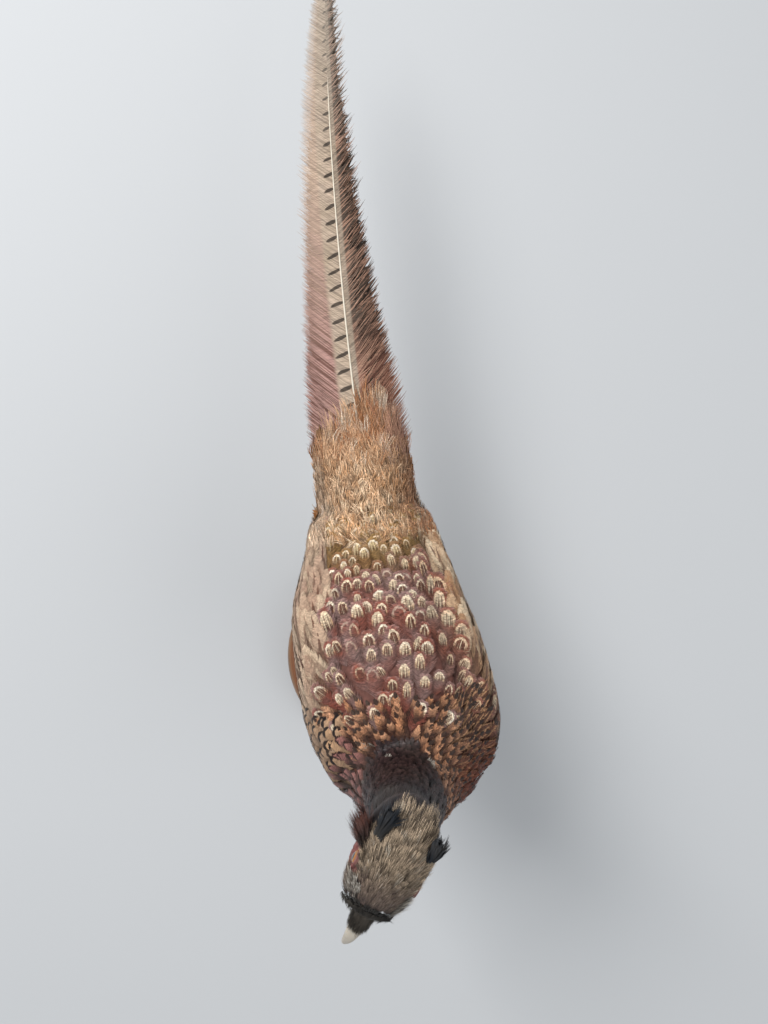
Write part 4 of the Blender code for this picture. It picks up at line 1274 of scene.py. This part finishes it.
def brow_tufts(hull, rng):
    """Crown feathers that lie outwards and hang a little over each eye."""
    roots = hull.scatter(rng, 0.1 * CM, lambda p: on_brow(p) & ~on_pale_line(p))
    ways = 0.9 * np.sign(head_parts(roots)[1])[:, None] * HEAD_LEFT - 0.6 * HEAD_AHEAD
    tufts("brow_tufts", crown_material(), "drab_crown_feather", hull, rng, roots, ways, BROW_LOOK)


def bill_root_tufts(rng):
    """Short black tufts that lie forward over the root of the bill."""
    finish = plain_plumage("bill_root_feather", "#1a1715", "#383129", "#26211c")
    hull = node_hull("bill_hull", "bill_upper", "head")

    def at_root(places):
        along, _, rise = head_parts(places)
        return within(along, 1.9, 2.85) & within(rise, -0.25)

    roots = hull.scatter(rng, 0.075 * CM, at_root)
    tufts("bill_root_tufts", finish, DARK_SLOT, hull, rng, roots, HEAD_AHEAD, BILL_ROOT_LOOK, HEAD_DEPTH / 2)


# ---------------------------------------------------------------- tail

# The tail is laid out in cm and turned to metres by tail_surface.
TAIL_START = 13.6  # where its feathers are rooted
TAIL_TOP = 18.85  # height of the uppermost feather there
TAIL_DROOP = 0.0034
TAIL_ARCH = 0.085
TAIL_LAYER = 0.17  # from one feather down to the next
TAIL_STEP = 0.075  # between barbs
TAIL_BAR = 1.22  # from one dark bar to the next
TAIL_BUNCH = 3  # barbs that hang together
TIGHT = 0.45  # share of a barb that is hooked to its neighbours
TAIL_STOPS = (0.0, 0.22, 0.45, 0.68, 0.86, 1.0)  # shares of a barb's reach
TAIL_FILL = (1.0, 1.1, 1.05, 0.85, 0.65, 0.18)  # share of a barb's width there
# name, length, root's and tip's shift, vane to the bird's right and to its left, layer, their looseness
TAIL_FEATHERS = (
    ("central_right", 43.6, 0.0, -0.1, 2.8, 1.5, 0, (0.5, 1.6)),
    ("central_left", 46.0, 0.35, 0.1, 1.7, 1.6, 1, (0.6, 2.0)),
    ("second_right", 33.0, -0.9, -0.7, 2.0, 1.6, 2, (0.7, 0.4)),
    ("second_left", 31.0, 1.1, 0.8, 1.6, 1.5, 3, (0.4, 1.5)),
    ("third_right", 24.5, -1.5, -1.2, 2.0, 1.6, 4, (0.7, 0.4)),
    ("third_left", 23.0, 1.6, 1.3, 1.6, 1.7, 5, (0.4, 1.15)),
    ("outer_right", 17.0, -1.9, -1.7, 1.8, 1.4, 6, (0.7, 0.4)),
    ("outer_left", 16.5, 1.9, 1.7, 1.4, 2.0, 7, (0.4, 1.0)),
)


def tail_surface(x, y, drop):
    """Points of the arched, drooping surface of the tail, drop cm below its top, in metres."""
    run = np.maximum(0, y - 16.0)
    swing = 0.00165 * np.maximum(0, y - 20.0) ** 2 - 0.15
    z = TAIL_TOP - TAIL_DROOP * run**2 - TAIL_ARCH * x**2 - drop
    return np.stack(np.broadcast_arrays(x + swing, y, z), -1) * CM


def blade_width(share):
    """A tail feather's width along it, as a share of its full width."""
    taper = np.clip(1 - np.clip(share, 0, 1) ** 2.1, 0, 1) ** 0.8
    return np.minimum(1, 0.5 + 2.6 * share) * taper + 0.05


def tail_feather(rng, finish, name, length, root, tip, right, left, layer, loose):
    """One long tail feather: hooked barbs by the shaft, loose drooping ends, and the shaft itself."""
    count = int(length / TAIL_STEP)
    side = np.repeat([-1.0, 1.0], count)
    share = np.tile((np.arange(count) + 0.5) / count, 2)
    stops = np.array(TAIL_STOPS)[None, :, None]
    fill = np.array(TAIL_FILL)[None, :, None]
    width = (np.where(side < 0, right, left) * blade_width(share))[:, None, None]
    wild = np.where(side < 0, *loose)[:, None, None]
    each = (2 * count, 1, 1)
    bunch = clumped(rng, 1, 2 * count, TAIL_BUNCH)[0][:, None, None] + 0.4 * rng.normal(0, 1, each)
    in_bunch = (np.arange(2 * count) % TAIL_BUNCH - (TAIL_BUNCH - 1) / 2)[:, None, None] * TAIL_STEP
    reach = stops * (1 + (0.04 + 0.04 * wild) * rng.normal(0, 1, each) * stops)
    free = np.clip(reach - TIGHT, 0, None)
    middle = np.tile(root + (tip - root) * share[:count], 2)[:, None, None]
    edge = np.array([-0.5, 0.5])[None, None, :] * TAIL_STEP * fill * 1.15
    bunched = np.maximum(wild - 0.6, 0)  # how far a loose vane hangs in bunches
    x = middle + side[:, None, None] * width * (reach + 0.12 * bunched * bunch * free)
    along = 0.95 * width * reach**1.15 + 0.5 * bunched * bunch * free
    along = along - np.minimum(1.8 * bunched * free, 0.85) * in_bunch
    y = TAIL_START + length * share[:, None, None] + along + edge
    x, y = np.broadcast_arrays(x, y)
    sag = 0.1 * free + 0.16 * wild * free**2 * np.abs(bunch)
    sag = sag - 0.12 * wild * np.maximum(bunch, 0) * free
    slant = np.array([0.0, 0.012])[None, None, :]
    vertices = tail_surface(x, y, layer * TAIL_LAYER - 0.02 + sag + slant)
    signed = np.broadcast_to(side[:, None, None] * reach, x.shape)
    vane = np.stack([0.5 + signed / 2, (y - TAIL_START) / TAIL_BAR], -1)
    strip = 0.02 + 0.95 * share[:, None, None] + 0.001 * np.array([-1.0, 1.0])
    baked = np.stack(np.broadcast_arrays(0.5 + signed * 0.42, strip), -1)
    maps = {"OFBake": baked.reshape(1, -1, 2), "vane": vane.reshape(1, -1, 2)}
    barb = np.broadcast_to(rng.random(each), x.shape)
    at = np.array([[middle[0, 0, 0] * CM, TAIL_START * CM, 18.8 * CM]])
    faces = strip_faces(2 * count, len(TAIL_STOPS), -side)
    draws = rng.random((1, 3))
    piece = build_coat(f"tail_{name}", finish, vertices.reshape(1, -1, 3), faces, maps, barb, at, draws)
    keep(piece, "barred_tail_feather", f"tail_feather_{name}")
    return tail_shaft(length, root, tip, layer)


def tail_shaft(length, root, tip, layer):
    """The points of a tapered shaft along a tail feather, six to a ring."""
    share = np.linspace(0, 1, 40)[:, None]
    radius = 0.065 * (1 - share) ** 0.8 + 0.014
    turn = np.linspace(0, math.tau, 7)[None, :-1]
    x = root + (tip - root) * share + radius * np.cos(turn)
    y = np.broadcast_to(TAIL_START + length * share, x.shape)
    sunk = 0.07 * smooth_step(share, 0.55, 0.85)
    return tail_surface(x, y, layer * TAIL_LAYER - 0.04 + sunk - 0.7 * radius * np.sin(turn))


def tail(rng):
    pale = tail_material("pale_tail_feather", "#baa594", "#b58d82", "#5a392f", 0.9)
    brown = tail_material("brown_tail_feather", "#8d7260", "#93685a", "#5a3b32", 1.0)
    finishes = {"central_right": pale, "second_right": pale, "third_right": pale, "outer_right": pale}
    shafts = []
    for name, *row in TAIL_FEATHERS:
        shafts.append(tail_feather(rng, finishes.get(name, brown), name, *row))
    rings = np.stack(shafts)
    n, count, around = rings.shape[:3]
    grid = np.arange(count * around).reshape(count, around)
    turned = np.roll(grid, -1, 1)
    faces = np.stack([grid[:-1], turned[:-1], turned[1:], grid[1:]], -1).reshape(-1, 4)
    shade = np.stack(np.meshgrid(np.linspace(0, 1, around), np.linspace(0, 1, count)), -1)
    vane = np.broadcast_to(shade.reshape(1, -1, 2), (n, count * around, 2))
    baked = vane * (0.1, 0.95) + np.linspace(0, 0.88, n)[:, None, None] * (1, 0)
    maps = {"OFBake": baked, "vane": vane}
    roots = rings[:, 0, 0]
    barb = np.full((n, count * around), 0.5)
    draws = rng.random((n, 3))
    finish = shaft_material()
    piece = build_coat("tail_shafts", finish, rings.reshape(n, -1, 3), faces, maps, barb, roots, draws)
    keep(piece, "barred_tail_feather")


# ---------------------------------------------------------------- head


def edit_only(obj):
    """Opens one object in edit mode with nothing in it selected."""
    select_only(obj)
    bpy.ops.object.mode_set(mode="EDIT")
    bpy.ops.mesh.select_all(action="DESELECT")


def pick(obj, test, kind="FACE"):
    """Selects the faces or points of the open object whose middle and normal pass a test."""
    bpy.ops.mesh.select_mode(type=kind)
    mesh = bmesh.from_edit_mesh(obj.data)
    items = mesh.faces if kind == "FACE" else mesh.verts
    for item in items:
        middle = item.calc_center_median() if kind == "FACE" else item.co
        item.select_set(bool(test(middle, item.normal)))
    mesh.select_flush_mode()
    bmesh.update_edit_mesh(obj.data)


def close_edit():
    bpy.ops.object.mode_set(mode="OBJECT")


def started(name, size=(1, 1, 1)):
    """Names and sizes the piece just added, turns its place, turn and size into its mesh, and opens it."""
    made = bpy.context.object
    made.name = name
    made.scale = size
    bpy.ops.object.transform_apply(location=True, rotation=True, scale=True)
    edit_only(made)
    return made


def turned_outwards(side):
    """The turn that points a new piece's own Z out of the head's side, with its Y to the head's top."""
    out = Vector(HEAD_LEFT * side)
    up = Vector(HEAD_UP)
    return Matrix((up.cross(out), up, out)).transposed().to_euler()


EYE_OUT = 1.32 * CM
EYE_RADIUS = 0.5 * CM
CORNEA = 0.36 * CM  # half width of the bulge over the iris
BULGE = 0.03 * CM


def eye_place(side, out=0.0):
    return Vector(head_place(0, side * (EYE_OUT + out), 0))


def eye(side, word):
    """A glass eye: a clear bulge over the iris, set a little into its lids."""
    place, turn = eye_place(side), turned_outwards(side)
    bpy.ops.mesh.primitive_uv_sphere_add(
        segments=40, ring_count=24, radius=EYE_RADIUS, location=place, rotation=turn
    )
    made = started(f"eye_{word}_glass")
    pole = eye_place(side, EYE_RADIUS)
    pick(made, lambda p, n: (p - pole).length < CORNEA, "VERT")
    bpy.ops.transform.translate(value=Vector(HEAD_LEFT * side) * BULGE)
    close_edit()
    add_modifier(made, "SMOOTH", factor=0.5, iterations=3)
    finished(made, eye_material(), "amber_eye_glass", f"eye_{word}")


def lids(side, word, finish):
    """The bare rim round the eye, longer than it is high, folded once over the top."""
    middle = eye_place(side, 0.3 * CM)
    bpy.ops.mesh.primitive_torus_add(
        major_radius=0.45 * CM, minor_radius=0.085 * CM, major_segments=44, minor_segments=12,
        location=middle, rotation=turned_outwards(side),
    )
    made = started(f"eyelids_{word}", (1.12, 0.9, 1.3))
    up, out = Vector(HEAD_UP), Vector(HEAD_LEFT * side)
    pick(made, lambda p, n: (p - middle).dot(up) > 0.22 * CM and n.dot(out) > 0.35)
    bpy.ops.mesh.inset(thickness=0.02 * CM, depth=0.035 * CM)
    close_edit()
    add_modifier(made, "SUBSURF", levels=2, render_levels=2)
    add_modifier(made, "DISPLACE", texture=skin_texture(0.9 * MM), strength=0.12 * MM, texture_coords="LOCAL")
    finished(made, finish, "red_face_skin")


def skin_texture(size):
    made = bpy.data.textures.new("papillae", "VORONOI")
    made.noise_scale = size
    made.distance_metric = "DISTANCE"
    return made


def wattle(side, word, finish):
    """The bare cheek: a soft lobe round the eye, pressed in at the socket and covered in papillae."""
    place = head_place(-0.05 * CM, side * 1.22 * CM, -0.5 * CM)
    bpy.ops.mesh.primitive_ico_sphere_add(
        subdivisions=6, radius=1, location=place, rotation=turned_outwards(side)
    )
    made = started(f"wattle_{word}_skin", (1.36 * CM, 1.1 * CM, 0.64 * CM))
    middle = eye_place(side, 0.5 * CM)
    out = Vector(HEAD_LEFT * side)
    pick(made, lambda p, n: (p - middle).length < 0.5 * CM and n.dot(out) > 0.3, "VERT")
    bpy.ops.transform.translate(value=-out * 0.2 * CM)
    close_edit()
    add_modifier(made, "SMOOTH", factor=0.5, iterations=8)
    add_modifier(made, "DISPLACE", texture=skin_texture(1.5 * MM), strength=-0.7 * MM, texture_coords="LOCAL")
    add_modifier(made, "SMOOTH", factor=0.4, iterations=1)
    finished(made, finish, "red_face_skin", f"wattle_{word}")


def bill():
    """Both halves of the bill from the CAD's form, rounded finely, with a nostril slit on each side."""
    finish = horn_material()
    for node in ("bill_upper", "bill_lower"):
        made = joined_copy(f"{node}_horn", (node,))
        edit_only(made)
        if node == "bill_upper":
            for side, _ in SIDES:
                nostril = Vector(head_place(2.55 * CM, side * 0.46 * CM, -0.08 * CM))
                pick(made, lambda p, n: (p - nostril).length < 0.26 * CM)
                bpy.ops.mesh.subdivide(number_cuts=2)
                pick(made, lambda p, n: (p - nostril).length < 0.13 * CM)
                bpy.ops.mesh.inset(thickness=0.01 * CM, depth=-0.07 * CM)
        close_edit()
        add_modifier(made, "SUBSURF", levels=2, render_levels=2)
        finished(made, finish, "ivory_bill_horn", node)


# ---------------------------------------------------------------- legs and plinth


SHANK_SCUTE = 4.4 * MM
TOE_SCUTE = 3.2 * MM
# Each toe's heading in degrees, turned outwards from straight ahead, and its length in cm.
TOES = ((326, 4.1), (2, 5.6), (38, 4.4), (188, 1.9))


def legs():
    """Shanks and feet in overlapping scutes, with smooth claws."""
    finish = leg_material()
    for _, word in SIDES:
        for node, grain in ((f"shank_{word}", 0.55 * MM), (f"foot_{word}", 0.6 * MM)):
            made = remeshed(joined_copy(f"{node}_scales", (node,)), grain, 4)
            scuted(made, node)
            finished(made, finish, "grey_leg_horn", node)


def scuted(piece, node):
    """Raises overlapping scutes on a shank or foot, and marks its grooves and claws for the finish."""
    mesh = piece.data
    points, normals = (numbers_of(mesh.vertices, name) for name in ("co", "normal"))
    low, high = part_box(node)
    if node.startswith("shank"):
        turns = (high[2] - points[:, 2]) / SHANK_SCUTE + 0.3 * np.abs(normals[:, 0])
        front = smooth_step(-normals[:, 1], -0.4, 0.2)
        claw = np.zeros(len(points))
    else:
        centre = np.array([math.copysign(3.1 * CM, (low[0] + high[0]) / 2), 1.0 * CM])
        radius = np.linalg.norm(points[:, :2] - centre, axis=1)
        turns = radius / TOE_SCUTE
        front = smooth_step(normals[:, 2], -0.1, 0.4) * smooth_step(radius, 0.5 * CM, 0.9 * CM)
        claw = claw_share(points[:, :2] - centre, radius, math.copysign(1, centre[0]))
    phase = turns % 1.0
    ridge = np.minimum(phase / 0.8, (1 - phase) / 0.2)
    points += normals * ((ridge - 0.6) * 0.28 * MM * front * (1 - claw))[:, None]
    mesh.vertices.foreach_set("co", points.ravel())
    set_numbers(mesh, "groove", "FLOAT", (1 - ridge) * front * (1 - claw))
    set_numbers(mesh, "claw", "FLOAT", claw)
    mesh.update()


def claw_share(away, radius, side):
    """How far each point is into its toe's claw, from 0 to 1."""
    heading = np.degrees(np.arctan2(away[:, 0] * side, -away[:, 1])) % 360
    claw = np.zeros(len(away))
    for at, length in TOES:
        near = np.abs((heading - at + 180) % 360 - 180) < 15
        share = smooth_step(radius, 0.8 * length * CM, 0.84 * length * CM)
        claw = np.where(near, share, claw)
    return claw


FOOT_HEIGHT = 0.7 * CM
STEP_HEIGHT = 0.1 * CM
FOOT_SPREAD = 8.1 / 7.66  # from the lower edge of the half-round rim out to the foot


def plinth():
    """A turned disc: a foot, a step, a half-round rim and a top with one shallow groove."""
    _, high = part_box("plinth")
    radius, height = high[0], high[2]
    foot = FOOT_HEIGHT
    middle = (0, 0, (height + foot) / 2)
    bpy.ops.mesh.primitive_cylinder_add(vertices=128, radius=radius, depth=height - foot, location=middle)
    made = started("turned_plinth")
    rounded_rim(made, radius, foot, height)
    edit_only(made)
    pick(made, lambda p, n: abs(n.z) > 0.99 and math.hypot(p.x, p.y) < 1 * CM and p.z < foot * 1.01)
    bpy.ops.mesh.extrude_region_move(TRANSFORM_OT_translate={"value": (0, 0, -STEP_HEIGHT)})
    bpy.ops.transform.resize(value=(FOOT_SPREAD, FOOT_SPREAD, 1))
    bpy.ops.mesh.extrude_region_move(TRANSFORM_OT_translate={"value": (0, 0, STEP_HEIGHT - foot)})
    bpy.ops.mesh.inset(thickness=0.3 * CM, depth=0)
    pick(made, lambda p, n: n.z > 0.99 and math.hypot(p.x, p.y) < 1 * CM)
    bpy.ops.mesh.inset(thickness=0.35 * CM, depth=0)
    bpy.ops.mesh.inset(thickness=0.12 * CM, depth=-0.05 * CM)
    bpy.ops.mesh.inset(thickness=0.12 * CM, depth=0.05 * CM)
    close_edit()
    add_modifier(made, "BEVEL", width=0.02 * CM, segments=2, limit_method="ANGLE")
    finished(made, wood_material(), "varnished_wood", "plinth")


def rounded_rim(made, radius, foot, height):
    """Rounds the upper and lower edges of the open disc's rim, and closes it."""
    bpy.ops.mesh.select_mode(type="EDGE")
    mesh = bmesh.from_edit_mesh(made.data)
    for edge in mesh.edges:
        middle = (edge.verts[0].co + edge.verts[1].co) / 2
        rim = math.hypot(middle.x, middle.y) > radius * 0.995
        level = abs(edge.verts[0].co.z - edge.verts[1].co.z) < 1e-6
        edge.select_set(rim and level)
    bmesh.update_edit_mesh(made.data)
    bpy.ops.mesh.bevel(offset=(height - foot) * 0.49, segments=7, affect="EDGES")
    close_edit()


# ---------------------------------------------------------------- stage


SKY_STRENGTH = 0.5
FLOOR_SIZE = 30
# name, place, size, power
LIGHTS = (
    ("window_light", (-0.9, 1.3, 1.7), 1.0, 42.0),
    ("fill_light", (1.2, -0.6, 1.6), 1.4, 9.0),
)


def stage():
    """The floor, with soft light from a window and a weaker one from the other side."""
    bpy.ops.mesh.primitive_plane_add(size=FLOOR_SIZE, location=(0, 0, 0))
    floor = bpy.context.object
    floor.name = "floor"
    made = Material("studio_paper", 0.9, Base_Color=colour("#c4c5c6")).made
    floor.data.materials.append(made)
    world = bpy.data.worlds.new("studio")
    world.use_nodes = True
    sky = world.node_tree.nodes["Background"].inputs
    sky["Color"].default_value = colour("#f3f9ff")
    sky["Strength"].default_value = SKY_STRENGTH
    bpy.context.scene.world = world
    for name, place, size, power in LIGHTS:
        data = bpy.data.lights.new(name, "AREA")
        data.size = size
        data.energy = power
        light = bpy.data.objects.new(name, data)
        light.location = place
        light.rotation_euler = (-Vector(place)).to_track_quat("-Z", "Y").to_euler()
        bpy.context.scene.collection.objects.link(light)
    bpy.context.scene.view_settings.view_transform = "Standard"


CAMERA_PLACE = (-2.65 * CM, 13.7 * CM, 73.5 * CM)
CAMERA_TURN = math.radians(7.0)
CAMERA_TILT = math.radians(3.79)
CAMERA_LENS = 27.03  # mm
FILM_HEIGHT = 36  # mm


def camera():
    data = bpy.data.cameras.new("camera")
    data.lens = CAMERA_LENS
    data.sensor_width = FILM_HEIGHT
    data.clip_start = 0.01
    eye_point = bpy.data.objects.new("camera", data)
    right = Vector((math.cos(CAMERA_TURN), -math.sin(CAMERA_TURN), 0))
    up = Vector((math.sin(CAMERA_TURN), math.cos(CAMERA_TURN), 0))
    across = right * math.cos(CAMERA_TILT) + Vector((0, 0, math.sin(CAMERA_TILT)))
    back = across.cross(up)
    eye_point.matrix_world = Matrix((across, up, back)).transposed().to_4x4()
    eye_point.location = CAMERA_PLACE
    bpy.context.scene.collection.objects.link(eye_point)
    bpy.context.scene.camera = eye_point


def bird():
    rng = np.random.default_rng(SEED)
    body, thighs = skin_and_hulls()
    back_feathers(body, rng)
    coats(body, rng)
    wing_feathers(body, rng)
    thigh_feathers(thighs, rng)
    ear_tufts(rng)
    ear_covert_tufts(body, rng)
    brow_tufts(body, rng)
    bill_root_tufts(rng)
    tail(rng)
    bare_skin = wattle_material()
    for side, word in SIDES:
        wattle(side, word, bare_skin)
        lids(side, word, bare_skin)
        eye(side, word)
    bill()
    legs()


camera()
stage()
bird()
plinth()
